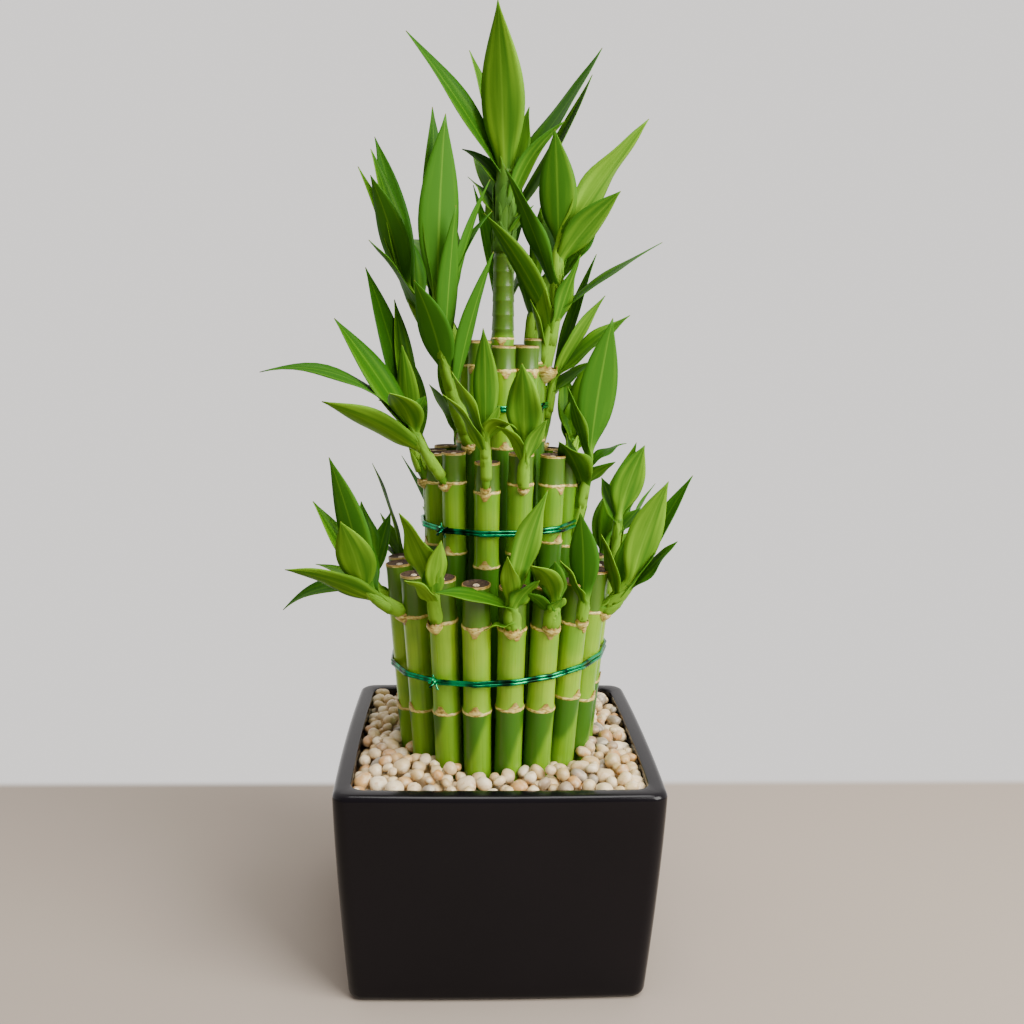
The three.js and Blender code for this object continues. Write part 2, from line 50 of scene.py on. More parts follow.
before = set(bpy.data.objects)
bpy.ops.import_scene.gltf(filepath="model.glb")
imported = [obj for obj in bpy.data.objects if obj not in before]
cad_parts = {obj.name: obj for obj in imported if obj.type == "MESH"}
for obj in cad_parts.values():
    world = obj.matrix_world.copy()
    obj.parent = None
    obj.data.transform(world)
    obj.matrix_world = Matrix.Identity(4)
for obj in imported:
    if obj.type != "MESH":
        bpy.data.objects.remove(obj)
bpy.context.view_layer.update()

MM = 0.001
BODY = "root"
POT_LOW, POT_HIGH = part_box("pot")
RIM = POT_HIGH.z

# ---------- the planting ----------

CANE_BOTTOM = -15  # the canes stand in the pebbles, this far from the rim

# Three rings of tied canes round a central one. Angles are seen from above, from the front towards the
# right, one to a cane. Nodes are the heights of a pattern cane's two nodes, and low_nodes the height at
# which each cane has its lower one. Freshness says how much of its young bright green the skin has kept.
TIERS = {
    "outer": {
        "ring": 39.8, "lean": 4.7, "length": 100, "radius": 6.2, "nodes": (27, 66), "freshness": 0.95,
        "angles": (
            -80, -56, -34, -14, 5.5, 25, 45.5, 65.5, 85,
            105, 125, 144.5, 164, 183.5, 203, 222.5, 242, 261,
        ),
        "low_nodes": (17, 22, 24.5, 27, 29.5, 28, 31, 25, 29, 24, 30, 22, 27, 32, 25, 29, 21, 24),
    },
    "middle": {
        "ring": 26.9, "lean": 1.7, "length": 152.5, "radius": 5.5, "nodes": (95, 124), "freshness": 0.45,
        "angles": (-72, -44, -13, 14.5, 46, 75, 102, 129, 156, 183, 210, 236, 262),
        "low_nodes": (96, 93, 90.5, 94, 99, 96, 92, 97, 94, 99, 91, 96, 93),
    },
    "inner": {
        "ring": 14.9, "lean": 0, "length": 200, "radius": 5.2, "nodes": (140, 174), "freshness": 0.6,
        "angles": (0, 45, 90, 135, 180, 225, 270, 315), "low_nodes": (140,) * 8,
    },
    "centre": {
        "ring": 0, "lean": 0, "length": 240, "radius": 5.0, "nodes": (140, 187), "freshness": 0.3,
        "angles": (0,), "low_nodes": (140,),
    },
}

# Height of each tie, how much it rises per millimetre towards the right, and where its knot sits.
TIES = {
    "outer": {"height": 42, "tilt": 0.09, "knot_angle": -34},
    "middle": {"height": 104.5, "tilt": 0.02, "knot_angle": -44},
    "inner": {"height": 157, "tilt": 0.07, "knot_angle": 45},
}

# A shoot leaves its cane at a node, in the direction of azimuth (from +X towards the back), and its
# stem turns from the first rise to the second over its length. Each row of leaves holds
# (place along the stem, turn from the stem's azimuth, rise at the base, length, width, droop, roll).
# Where they are given, a brightness shift makes the leaves lighter, as on the young shoots at the front,
# or darker with painted shade, as on the tall spear that faces the light, and husk widens the skin at the
# foot.
SHOOTS = {
    "crown_shoot": {
        "tier": "centre", "cane": 1, "height": 225.3, "azimuth": 270,
        "rise": (90, 90), "length": 44, "girth": 10.5,
        "leaves": (
            (0.8, -15, 80, 68, 20, 6, 0), (0.75, -85, 60, 73, 12, 12, -45), (0.85, -125, 75, 54, 9, 10, 0),
            (0.7, 95, 50, 71, 12, -10, 30), (0.25, 100, 55, 77, 9, -12, 20), (0.3, 75, 85, 52, 9, 50, -20),
            (0.6, -105, 70, 29, 7, 50, -40), (0.25, -110, 70, 29, 7, 30, -20), (0.1, 70, 65, 21, 8, 20, 0),
            (0.5, 135, 75, 45, 10, 5, 0), (0.6, 180, 65, 62, 13, 20, 0), (0.35, -160, 55, 55, 11, 30, 0),
        ),
    },
    "inner_left_shoot": {
        "tier": "inner", "cane": 8, "height": 140, "azimuth": 215,
        "rise": (60, 88), "length": 70, "girth": 8,
        # Darkened with painted shade, as this spear faces the light.
        "fresh_and_shade": -0.35,
        "leaves": (
            (0.35, 110, 80, 65, 9, 15, 0), (0.55, 140, 90, 81, 9, 25, -25), (0.6, 80, 85, 64, 9, 8, 0),
            (0.7, -90, 85, 49, 7, 20, 0), (0.8, 165, 85, 56, 7, 40, 20), (1, -95, 90, 76, 14, 5, 10),
            (1, 90, 90, 72, 18, 8, -20), (0.5, 10, 75, 44, 16, 20, 15),
        ),
    },
    "inner_far_left_shoot": {
        "tier": "inner", "cane": 7, "height": 174, "azimuth": 190,
        "rise": (40, 70), "length": 44, "girth": 7,
        "leaves": (
            (0.35, 25, 65, 56, 10, 25, 0), (0.5, -12, 72, 77, 9, 10, -30), (0.8, -15, 80, 69, 12, 10, -40),
            (0.9, -45, 82, 72, 10, 15, -35), (1, 20, 78, 49, 15, 15, 25), (0.7, -80, 70, 50, 11, 25, 0),
        ),
    },
    "inner_right_shoot": {
        "tier": "inner", "cane": 3, "height": 174, "azimuth": 340,
        "rise": (75, 92), "length": 56, "girth": 7.5,
        "husk": 1.6,
        "leaves": (
            (0.1, -145, 80, 27, 7, 10, 0), (0.2, -115, 80, 35, 8, 10, 0), (0.35, -140, 65, 59, 10, 20, 40),
            (0.3, -25, 70, 37, 9, 5, 0), (0.45, 15, 40, 57, 9, 10, 20), (0.6, -145, 70, 59, 9, 10, 20),
            (0.7, 40, 60, 37, 9, 10, 20), (0.85, -5, 55, 41, 12, 15, -40), (1, 15, 60, 65, 13, 10, -40),
            (1, -90, 80, 48, 17, 8, 0), (0.8, 110, 65, 48, 12, 25, 0),
        ),
    },
    "inner_low_right_shoot": {
        "tier": "inner", "cane": 3, "height": 140, "azimuth": 10,
        "rise": (75, 85), "length": 30, "girth": 5.5,
        "leaves": (
            (1, -15, 65, 44, 10, 10, -30), (1, 10, 45, 49, 9, 15, 20), (0.8, 0, 45, 24, 9, 15, 20),
            (0.9, 20, 75, 64, 8, 10, 0),
        ),
    },
    "middle_far_left_shoot": {
        "tier": "middle", "cane": 1, "height": 124, "azimuth": 185,
        "rise": (60, 85), "length": 26, "girth": 8,
        "leaves": (
            (1, -15, 80, 72, 15, 12, -25), (0.9, -50, 85, 59, 10, 10, 0), (0.8, 60, 80, 42, 9, 5, 0),
            (0.6, -90, 70, 45, 11, 25, 0),
        ),
    },
    "middle_left_shoot": {
        "tier": "middle", "cane": 2, "height": 124, "azimuth": 215,
        "rise": (45, 70), "length": 34, "girth": 5.5,
        "leaves": (
            (0.55, -25, 35, 49, 13, 15, 40), (0.7, -45, 60, 64, 16, 10, -20),
            (0.8, -30, 60, 76, 8, 75, -15), (0.85, 30, 65, 30, 15, 50, 0), (1, 105, 60, 14, 8, 10, 0),
        ),
    },
    "middle_front_left_shoot": {
        "tier": "middle", "cane": 3, "height": 124, "azimuth": 262,
        "rise": (70, 90), "length": 24, "girth": 5.5,
        "fresh_and_shade": 0.3,
        "leaves": (
            (0.6, -60, 70, 34, 7, 30, 20), (0.8, -65, 70, 35, 8, 10, 20), (1, -5, 95, 46, 9, 30, 0),
            (0.9, 55, 75, 23, 8, 110, -20), (0.85, 50, 75, 19, 7, 20, 0),
        ),
    },
    "middle_front_right_shoot": {
        "tier": "middle", "cane": 4, "height": 124, "azimuth": 280,
        "rise": (70, 90), "length": 20, "girth": 6,
        "fresh_and_shade": 0.3,
        "leaves": ((1, -25, 80, 36, 13, 10, 0), (0.6, 35, 70, 23, 8, 20, 0), (0.5, -60, 85, 27, 7, 70, 0)),
    },
    "middle_right_shoot": {
        "tier": "middle", "cane": 6, "height": 95, "azimuth": 345,
        "rise": (75, 85), "length": 44, "girth": 6.5,
        "leaves": (
            (1, -25, 85, 60, 18, 8, -40), (0.6, -110, 65, 35, 13, 40, 0), (0.8, 40, 55, 25, 7, 50, 0),
            (0.65, -25, 45, 20, 9, 15, -20), (0.9, -150, 75, 35, 7, 5, 20), (0.5, 145, 75, 31, 9, 10, 0),
        ),
    },
    "outer_left_shoot": {
        "tier": "outer", "cane": 2, "height": 66, "azimuth": 195,
        "rise": (25, 45), "length": 22, "girth": 8,
        "leaves": (
            (0.55, -5, 35, 46, 12, 25, 50), (0.75, -25, 60, 50, 10, 5, -20), (0.9, -15, 80, 62, 15, 10, 60),
            (1, 45, 70, 38, 17, 15, 20), (0.8, -70, 70, 37, 12, 10, 0),
        ),
    },
    "outer_front_left_shoot": {
        "tier": "outer", "cane": 3, "height": 66, "azimuth": 235,
        "rise": (70, 85), "length": 15, "girth": 8.5,
        "fresh_and_shade": 0.3,
        "leaves": (
            (0.6, -15, 65, 22, 8, 45, 20), (0.8, 30, 80, 20, 8, 10, 0), (1, -30, 75, 39, 13, 15, 30),
            (1, 50, 70, 28, 8, 10, 0),
        ),
    },
    "outer_front_shoot": {
        "tier": "outer", "cane": 5, "height": 66, "azimuth": 265,
        "rise": (70, 90), "length": 13, "girth": 8,
        "fresh_and_shade": 0.3,
        "leaves": (
            (0.2, -70, 15, 14, 6, 35, 0), (0.75, -70, 30, 36, 8, 30, -20), (1, 60, 80, 52, 11, 15, -30),
            (0.9, -5, 65, 28, 7, 10, 0), (0.7, 60, 65, 21, 9, 30, -20),
        ),
    },
    "outer_front_right_shoot": {
        "tier": "outer", "cane": 6, "height": 66, "azimuth": 290,
        "rise": (65, 85), "length": 13, "girth": 9,
        "leaves": (
            (0.6, 5, 70, 11, 8, 35, 0), (1, -50, 65, 31, 12, 45, 0), (0.9, -25, 80, 23, 9, 25, 0),
            (0.5, -85, 55, 19, 7, 30, 20),
        ),
    },
    "outer_right_shoot": {
        "tier": "outer", "cane": 8, "height": 66, "azimuth": 340,
        "rise": (35, 60), "length": 20, "girth": 9,
        "leaves": (
            (0.15, 0, 55, 35, 8, 5, 20), (0.75, 15, 50, 33, 9, 5, 20), (1, -5, 80, 50, 16, 15, -60),
            (0.9, 35, 65, 58, 9, 10, 20), (0.6, 85, 75, 32, 9, 15, 0), (0.5, -140, 80, 32, 10, 10, 0),
        ),
    },
    "outer_cane_01_shoot": {
        "tier": "outer", "cane": 1, "height": 66, "azimuth": 165,
        "rise": (30, 60), "length": 16, "girth": 7,
        "leaves": (
            (0.4, 10, 25, 52, 10, 70, -20), (0.6, -5, 30, 34, 8, 25, 0), (0.9, -105, 65, 34, 9, 5, 0),
            (1, -50, 80, 36, 11, 10, 0),
        ),
    },
    "outer_cane_07_shoot": {
        "tier": "outer", "cane": 7, "height": 66, "azimuth": 300,
        "rise": (65, 85), "length": 12, "girth": 7,
        "leaves": ((1, -90, 90, 38, 14, 10, 25), (0.7, -90, 70, 25, 8, 20, 0)),
    },
    "outer_cane_09_shoot": {
        "tier": "outer", "cane": 9, "height": 66, "azimuth": 10,
        "rise": (75, 88), "length": 42, "girth": 7,
        "leaves": (
            (1, -30, 80, 35, 16, 15, -55), (0.9, 140, 70, 23, 10, 5, -20), (0.8, 25, 45, 18, 8, 15, 0),
            (0.5, 65, -25, 33, 8, 80, 0),
        ),
    },
}

# Shoots on the far side that repeat the habit of a named one: (tier, cane, azimuth, habit, scale).
REPEATED_SHOOTS = (
    ("outer", 11, 35, "outer_left_shoot", 1), ("outer", 13, 70, "outer_front_left_shoot", 1.2),
    ("outer", 15, 115, "outer_right_shoot", 0.95), ("outer", 17, 150, "outer_front_shoot", 1),
    ("middle", 7, 55, "outer_front_left_shoot", 1.2), ("middle", 9, 65, "middle_right_shoot", 0.9),
    ("middle", 11, 125, "middle_front_right_shoot", 1.3), ("middle", 12, 150, "middle_left_shoot", 0.8),
    ("inner", 4, 60, "middle_right_shoot", 1), ("inner", 5, 95, "middle_far_left_shoot", 1.4),
    ("inner", 6, 140, "middle_left_shoot", 1.2),
)


# ---------- settings ----------

def length_setting(name, description, millimetres):
    """A length in metres that the panel shows, with its default given in millimetres."""
    return FloatProperty(
        name=name, description=description, default=millimetres * MM, unit="LENGTH", precision=4)


def colour_setting(name, description, colour):
    """A linear colour that the panel shows."""
    return FloatVectorProperty(
        name=name, description=description, default=colour, subtype="COLOR", min=0, max=1)


class PotSettings(bpy.types.PropertyGroup):
    """Sizes and colour of the pot."""

    taper: length_setting("Taper", "How much each side draws in from rim to foot", 6)
    corner: length_setting("Corner radius", "Radius of the upright corners in plan", 7)
    bow: length_setting("Bow", "How far each side bulges in plan", 1)
    wall: length_setting("Wall", "Thickness of the wall at the rim", 7.8)
    floor: length_setting("Floor", "Thickness of the floor", 8)
    lip: length_setting("Lip", "Radius of the rounded outer edge of the rim", 3)
    glaze: colour_setting("Glaze", "Colour of the glaze", (0.0027, 0.0023, 0.0033))


class PebbleSettings(bpy.types.PropertyGroup):
    """Sizes and colour of the pebbles."""

    smallest: length_setting("Smallest", "Smallest pebble radius", 2.2)
    largest: length_setting("Largest", "Largest pebble radius", 4.5)
    depth: length_setting("Depth", "Depth of the bedding below the rim", 17)
    level: length_setting("Level", "How far below the rim the pebbles reach along the walls", 0.2)
    heap: length_setting("Heap", "How much higher they are heaped round the canes", 4.8)
    seed: IntProperty(name="Seed", description="Changes how the pebbles lie", default=7, min=0)


class PlantSettings(bpy.types.PropertyGroup):
    """Thicknesses and colours of the canes, ties and shoots."""

    leaf_thickness: length_setting("Leaf thickness", "Thickness of a blade", 0.3)
    strand: length_setting("Strand", "Radius of one strand of a tie", 0.75)
    cane: colour_setting("Cane", "Colour of a sunlit internode", (0.22, 0.41, 0.010))
    cane_shade: colour_setting("Cane foot", "Colour of the oldest internodes", (0.035, 0.125, 0.004))
    husk: colour_setting("Husk", "Colour of the dry rings at the nodes", (0.54, 0.42, 0.09))
    leaf: colour_setting("Leaf", "Colour of a blade's upper side", (0.020, 0.088, 0.003))
    foil: colour_setting("Foil", "Colour of the foil round the ties", (0.0, 0.11, 0.04))


class StageSettings(bpy.types.PropertyGroup):
    """The floor, the light and the camera."""

    floor: colour_setting("Floor", "Colour of the floor", (0.315, 0.268, 0.226))
    wall: colour_setting("Wall", "Colour of the light from behind the plant", (1.0, 0.965, 0.94))
    room: colour_setting("Room", "Colour of the light from the viewer's side", (0.27, 0.26, 0.25))
    lens: FloatProperty(name="Lens", description="Focal length of the camera", default=37.44, unit="CAMERA")


# ---------- modelling ----------

def pick(*pieces):
    """Selects these pieces and nothing else. The last one is the active one."""
    bpy.ops.object.select_all(action="DESELECT")
    for piece in pieces:
        piece.select_set(True)
    bpy.context.view_layer.objects.active = pieces[-1]


def added(name):
    """Names the primitive that was just added and puts its place into its mesh."""
    piece = bpy.context.view_layer.objects.active
    piece.name = name
    piece.data.name = name
    settle(piece)
    return piece


def settle(piece):
    """Applies a piece's place, turn and scale, so that they are in its mesh."""
    pick(piece)
    bpy.ops.object.transform_apply(location=True, rotation=True, scale=True)


def copied(piece, name):
    """A copy of a piece with a mesh of its own."""
    twin = piece.copy()
    twin.data = piece.data.copy()
    twin.name = name
    bpy.context.scene.collection.objects.link(twin)
    return twin


def joined(pieces, name):
    """Joins pieces into the last of them."""
    pick(*pieces)
    if len(pieces) > 1:
        bpy.ops.object.join()
    whole = bpy.context.view_layer.objects.active
    whole.name = name
    whole.data.name = name
    return whole


def apply_modifier(piece, kind, **settings):
    """Adds one modifier to a piece and applies it."""
    modifier = piece.modifiers.new(kind.title(), kind)
    for key, value in settings.items():
        setattr(modifier, key, value)
    pick(piece)
    bpy.ops.object.modifier_apply(modifier=modifier.name)


def discard(*pieces):
    """Deletes patterns that were only there to be copied."""
    for piece in pieces:
        bpy.data.objects.remove(piece)


@contextmanager
def editing(piece, mode="FACE"):
    """Edit mode on one piece, with nothing of it selected."""
    pick(piece)
    bpy.ops.object.mode_set(mode="EDIT")
    bpy.ops.mesh.select_mode(type=mode)
    bpy.ops.mesh.select_all(action="DESELECT")
    yield
    bpy.ops.object.mode_set(mode="OBJECT")


def choose(piece, kind, wanted):
    """Selects the verts, edges or faces of a piece in edit mode that pass a test."""
    bpy.ops.mesh.select_all(action="DESELECT")
    shape = bmesh.from_edit_mesh(piece.data)
    for element in getattr(shape, kind):
        if wanted(element):
            element.select_set(True)
    shape.select_flush_mode()
    bmesh.update_edit_mesh(piece.data)


def edge_between(test):
    """A test that an edge passes when both its ends pass."""
    return lambda edge: all(test(vert.co) for vert in edge.verts)


def grow_rings(rings):
    """Extrudes the selected cap through rings of (radius, height), from the first one's size and height."""
    for (radius, height), (new_radius, new_height) in zip(rings, rings[1:]):
        bpy.ops.mesh.extrude_region_move(TRANSFORM_OT_translate={"value": (0, 0, new_height - height)})
        ratio = new_radius / radius
        bpy.ops.transform.resize(value=(ratio, ratio, 1), center_override=(0, 0, new_height))


def assign(piece, index, wanted):
    """Gives the faces that pass a test one of the piece's materials."""
    choose(piece, "faces", wanted)
    piece.active_material_index = index
    bpy.ops.object.material_slot_assign()


def smooth(value):
    """Rises evenly from 0 to 1 and stays there."""
    value = min(1, max(0, value))
    return value * value * (3 - 2 * value)


def remember_shape(piece):
    """Keeps where each point is now as the attribute "rest", for patterns that follow the piece."""
    attribute = piece.data.attributes.new("rest", "FLOAT_VECTOR", "POINT")
    places = [value for vert in piece.data.vertices for value in vert.co]
    attribute.data.foreach_set("vector", places)


def mark(piece, name, value):
    """Gives all of a piece one number, as a point attribute."""
    attribute = piece.data.attributes.get(name) or piece.data.attributes.new(name, "FLOAT", "POINT")
    attribute.data.foreach_set("value", [value] * len(piece.data.vertices))


def fade_edges(piece, low, high):
    """Marks the points below or above two heights, as the point attribute "edge"."""
    attribute = piece.data.attributes.new("edge", "FLOAT", "POINT")
    attribute.data.foreach_set("value", [float(not low < vert.co.z < high) for vert in piece.data.vertices])


def shade_rounded(piece, degrees):
    """Shades a piece smooth, except at edges that are sharper than an angle."""
    pick(piece)
    bpy.ops.object.shade_smooth_by_angle(angle=math.radians(degrees))


def turn_outwards():
    """Points all the faces of the piece in edit mode outwards."""
    bpy.ops.mesh.select_all(action="SELECT")
    bpy.ops.mesh.normals_make_consistent(inside=False)


def finished(piece, slot, *nodes):
    """Lets a finished piece ride with the object and stand for its nodes."""
    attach(piece, BODY)
    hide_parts(*nodes)


# ---------- materials ----------

class Recipe:
    """A procedural material, or a world's light, that is built up one node at a time."""

    def __init__(self, name, shelf="materials", shader="Principled BSDF"):
        self.owner = getattr(bpy.data, shelf).new(name)
        self.owner.use_nodes = True
        self.nodes = self.owner.node_tree.nodes
        self.links = self.owner.node_tree.links
        self.shader = self.nodes[shader]

    def feed(self, socket, value):
        """Links a socket to another one's output, or sets it to a value."""
        if isinstance(value, bpy.types.NodeSocket):
            self.links.new(value, socket)
        else:
            socket.default_value = value

    def shine(self, **values):
        """Sets the shader's own sockets, such as base_color or coat_weight."""
        for key, value in values.items():
            self.feed(self.shader.inputs[key.replace("_", " ").title().replace("Ior", "IOR")], value)

    def place(self, source="Object"):
        """Where a point of the surface is, on one of the piece's own coordinates."""
        return self.nodes.new("ShaderNodeTexCoord").outputs[source]

    def attribute(self, name, output="Vector"):
        """What a point attribute of the piece says."""
        node = self.nodes.new("ShaderNodeAttribute")
        node.attribute_name = name
        return node.outputs[output]

    def math(self, operation, a, b=0.0, c=0.0):
        """One sum of up to three values."""
        node = self.nodes.new("ShaderNodeMath")
        node.operation = operation
        for socket, value in zip(node.inputs, (a, b, c)):
            self.feed(socket, value)
        return node.outputs[0]

    def between(self, value, low, high):
        """Rises smoothly from 0 to 1 as value goes from low to high."""
        node = self.nodes.new("ShaderNodeMapRange")
        node.interpolation_type = "SMOOTHSTEP"
        self.feed(node.inputs["Value"], value)
        node.inputs["From Min"].default_value = low
        node.inputs["From Max"].default_value = high
        return node.outputs["Result"]

    def axes(self, vector):
        """The three parts of a vector."""
        node = self.nodes.new("ShaderNodeSeparateXYZ")
        self.feed(node.inputs[0], vector)
        return node.outputs

    def combined(self, x, y, z):
        """A vector made of three parts."""
        node = self.nodes.new("ShaderNodeCombineXYZ")
        for socket, value in zip(node.inputs, (x, y, z)):
            self.feed(socket, value)
        return node.outputs[0]

    def stretched(self, vector, scale):
        """A vector with each part multiplied."""
        node = self.nodes.new("ShaderNodeVectorMath")
        node.operation = "MULTIPLY"
        self.feed(node.inputs[0], vector)
        node.inputs[1].default_value = scale
        return node.outputs[0]

    def noise(self, vector, scale, detail):
        """Soft uneven clouds, from 0 to 1."""
        node = self.nodes.new("ShaderNodeTexNoise")
        self.feed(node.inputs["Vector"], vector)
        node.inputs["Scale"].default_value = scale
        node.inputs["Detail"].default_value = detail
        return node.outputs["Fac"]

    def cells(self, vector, scale):
        """How far a point is from the middle of its grain."""
        node = self.nodes.new("ShaderNodeTexVoronoi")
        self.feed(node.inputs["Vector"], vector)
        node.inputs["Scale"].default_value = scale
        return node.outputs["Distance"]

    def ramp(self, value, *stops):
        """A colour ramp through (position, colour) stops."""
        node = self.nodes.new("ShaderNodeValToRGB")
        self.feed(node.inputs[0], value)
        elements = node.color_ramp.elements
        while len(elements) < len(stops):
            elements.new(1.0)
        for element, (position, colour) in zip(elements, stops):
            element.position = position
            element.color = (*colour, 1.0)
        return node.outputs["Color"]

    def mix(self, share, a, b):
        """Goes from colour a to colour b as share goes from 0 to 1."""
        node = self.nodes.new("ShaderNodeMix")
        node.data_type = "RGBA"
        self.feed(node.inputs["Factor"], share)
        colours = [socket for socket in node.inputs if socket.type == "RGBA"]
        for socket, value in zip(colours, (a, b)):
            self.feed(socket, (*value, 1.0) if isinstance(value, tuple) else value)
        return next(socket for socket in node.outputs if socket.type == "RGBA")

    def bump(self, height, millimetres, strength=1.0):
        """Fine relief, this deep where height goes from 0 to 1."""
        node = self.nodes.new("ShaderNodeBump")
        self.feed(node.inputs["Height"], height)
        node.inputs["Distance"].default_value = millimetres * MM
        node.inputs["Strength"].default_value = strength
        self.feed(self.shader.inputs["Normal"], node.outputs[0])


def tinted(colour, red, green, blue):
    """A colour with each channel multiplied."""
    return (colour[0] * red, colour[1] * green, colour[2] * blue)


def glaze_material(colour):
    """Glossy black glaze with slight pooling and a few pin marks."""
    recipe = Recipe("black_glaze")
    place = recipe.place()
    pooling = recipe.noise(place, 22, 3)
    warm = tinted(colour, 1.7, 1.45, 1.5)
    recipe.shine(base_color=recipe.mix(pooling, tuple(colour), warm))
    recipe.shine(roughness=recipe.math("MULTIPLY_ADD", pooling, 0.10, 0.14))
    recipe.shine(specular_ior_level=0.16, coat_weight=0.07, coat_roughness=0.04)
    pins = recipe.between(recipe.cells(place, 90), 0.0, 0.05)
    waves = recipe.noise(place, 60, 2)
    recipe.bump(recipe.math("MULTIPLY_ADD", pins, 0.3, waves), 0.12, 0.5)
    return recipe.owner


def clay_material():
    """Unglazed foot of the pot."""
    recipe = Recipe("unglazed_foot")
    grain = recipe.noise(recipe.place(), 900, 4)
    recipe.shine(base_color=recipe.ramp(grain, (0.3, (0.10, 0.085, 0.075)), (0.75, (0.19, 0.16, 0.14))))
    recipe.shine(roughness=0.85)
    recipe.bump(grain, 0.15)
    return recipe.owner


def painted_shade_bedding_material():
    """The gravel below the top pebbles, darkened with painted shade, most of all between its grains."""
    recipe = Recipe("bedding")
    grains = recipe.cells(recipe.place(), 220)
    recipe.shine(base_color=recipe.ramp(grains, (0.0, (0.42, 0.33, 0.20)), (0.7, (0.10, 0.08, 0.05))))
    recipe.shine(roughness=0.8)
    recipe.bump(grains, -1.5)
    return recipe.owner


def pebble_material():
    """Tumbled stone: each pebble has its own tone, with clouds and a few rusty veins."""
    recipe = Recipe("pebble")
    place = recipe.place()
    tone = recipe.attribute("tone", "Fac")
    stone = recipe.ramp(
        tone,
        (0.0, (0.86, 0.66, 0.38)), (0.22, (0.62, 0.45, 0.22)), (0.45, (0.90, 0.76, 0.52)),
        (0.66, (0.66, 0.47, 0.20)), (0.82, (0.56, 0.27, 0.07)), (0.93, (0.30, 0.26, 0.20)),
    )
    clouds = recipe.noise(place, 260, 4)
    clouded = recipe.mix(recipe.between(clouds, 0.45, 0.85), stone, (0.92, 0.82, 0.60))
    veins = recipe.between(recipe.noise(recipe.stretched(place, (240, 420, 330)), 1, 5), 0.56, 0.70)
    veined = recipe.mix(recipe.math("MULTIPLY", veins, 0.6), clouded, (0.46, 0.24, 0.08))
    dusty = recipe.mix(0.22, veined, (0.20, 0.13, 0.06))
    recipe.shine(base_color=dusty, roughness=recipe.math("MULTIPLY_ADD", clouds, 0.3, 0.25))
    recipe.shine(specular_ior_level=0.5, coat_weight=0.12, coat_roughness=0.3)
    recipe.bump(clouds, 0.25, 0.6)
    return recipe.owner


def cane_material(bright, shade):
    """Waxy skin of a cane: a young bright internode, an old green foot and a dull stub on top.

    The attribute "zone" counts the nodes below a point, and "tone" is the cane's own freshness. The foot
    is lighter below a slanting line: painted light and shade, standing in for a reflection and a shadow
    that fall across it.
    """
    recipe = Recipe("cane_skin")
    rest = recipe.attribute("rest")
    _, across, height = recipe.axes(rest)
    zone = recipe.attribute("zone", "Fac")
    tone = recipe.attribute("tone", "Fac")
    mottle = recipe.noise(recipe.place(), 38, 2)
    streaks = recipe.noise(recipe.stretched(rest, (900, 900, 22)), 1, 3)
    # Painted light and shade on the foot: lighter below a slanting line, which a fresher cane has higher up.
    slant = recipe.math("MULTIPLY_ADD", across, 190, recipe.math("MULTIPLY_ADD", height, -80, 0.95))
    slant = recipe.math("ADD", slant, recipe.math("MULTIPLY_ADD", mottle, 1.6, -0.45))
    slant = recipe.math("ADD", slant, recipe.math("MULTIPLY_ADD", tone, 5, -4.7))
    painted_light_patch = recipe.math("MULTIPLY", recipe.between(slant, -0.32, 0.36), 0.75)
    old = recipe.mix(painted_light_patch, tuple(shade), tinted(bright, 0.8, 0.9, 0.7))
    patches = recipe.between(mottle, 0.32, 0.68)
    young = recipe.mix(patches, tinted(bright, 0.62, 0.78, 0.6), tinted(bright, 1.25, 1.12, 1.2))
    young = recipe.mix(tone, tinted(bright, 0.36, 0.56, 0.4), young)
    dull = recipe.mix(mottle, tinted(shade, 1.2, 0.8, 1.6), tinted(shade, 2.4, 1.45, 3.0))
    body = recipe.mix(recipe.between(zone, 0.0, 1.0), old, young)
    body = recipe.mix(recipe.between(zone, 1.0, 2.0), body, dull)
    lines = recipe.math("MULTIPLY", recipe.between(streaks, 0.35, 0.8), 0.35)
    recipe.shine(base_color=recipe.mix(lines, body, tuple(shade)))
    recipe.shine(roughness=recipe.math("MULTIPLY_ADD", streaks, 0.2, 0.22))
    recipe.shine(specular_ior_level=0.4, subsurface_weight=0.06, subsurface_scale=0.002)
    recipe.bump(streaks, 0.12, 0.5)
    return recipe.owner


def husk_material(colour):
    """Dry papery tissue at the nodes and round the foot of a shoot, browned along its torn edges."""
    recipe = Recipe("dry_husk")
    fibres = recipe.noise(recipe.stretched(recipe.place(), (520, 520, 1100)), 1, 4)
    brown = tinted(colour, 0.34, 0.25, 0.2)
    bleached = tinted(colour, 1.4, 1.55, 2.6)
    dry = recipe.ramp(fibres, (0.32, brown), (0.46, tuple(colour)), (0.66, bleached))
    edge = recipe.math("MULTIPLY", recipe.attribute("edge", "Fac"), 0.8)
    recipe.shine(base_color=recipe.mix(edge, dry, tinted(colour, 0.36, 0.22, 0.12)))
    recipe.shine(roughness=0.38, specular_ior_level=0.5)
    recipe.bump(fibres, 0.4)
    return recipe.owner


def cut_material():
    """The dark sealed end of a cut cane."""
    recipe = Recipe("cut_end")
    grain = recipe.noise(recipe.place(), 900, 4)
    recipe.shine(base_color=recipe.ramp(grain, (0.3, (0.018, 0.012, 0.009)), (0.8, (0.10, 0.06, 0.035))))
    recipe.shine(roughness=0.7, specular_ior_level=0.15)
    recipe.bump(grain, 0.25)
    return recipe.owner


def pith_material():
    """The pale pith in the middle of a cut end."""
    recipe = Recipe("pith")
    grain = recipe.noise(recipe.place(), 1400, 3)
    recipe.shine(base_color=recipe.ramp(grain, (0.3, (0.34, 0.24, 0.15)), (0.7, (0.66, 0.54, 0.38))))
    recipe.shine(roughness=0.8)
    return recipe.owner


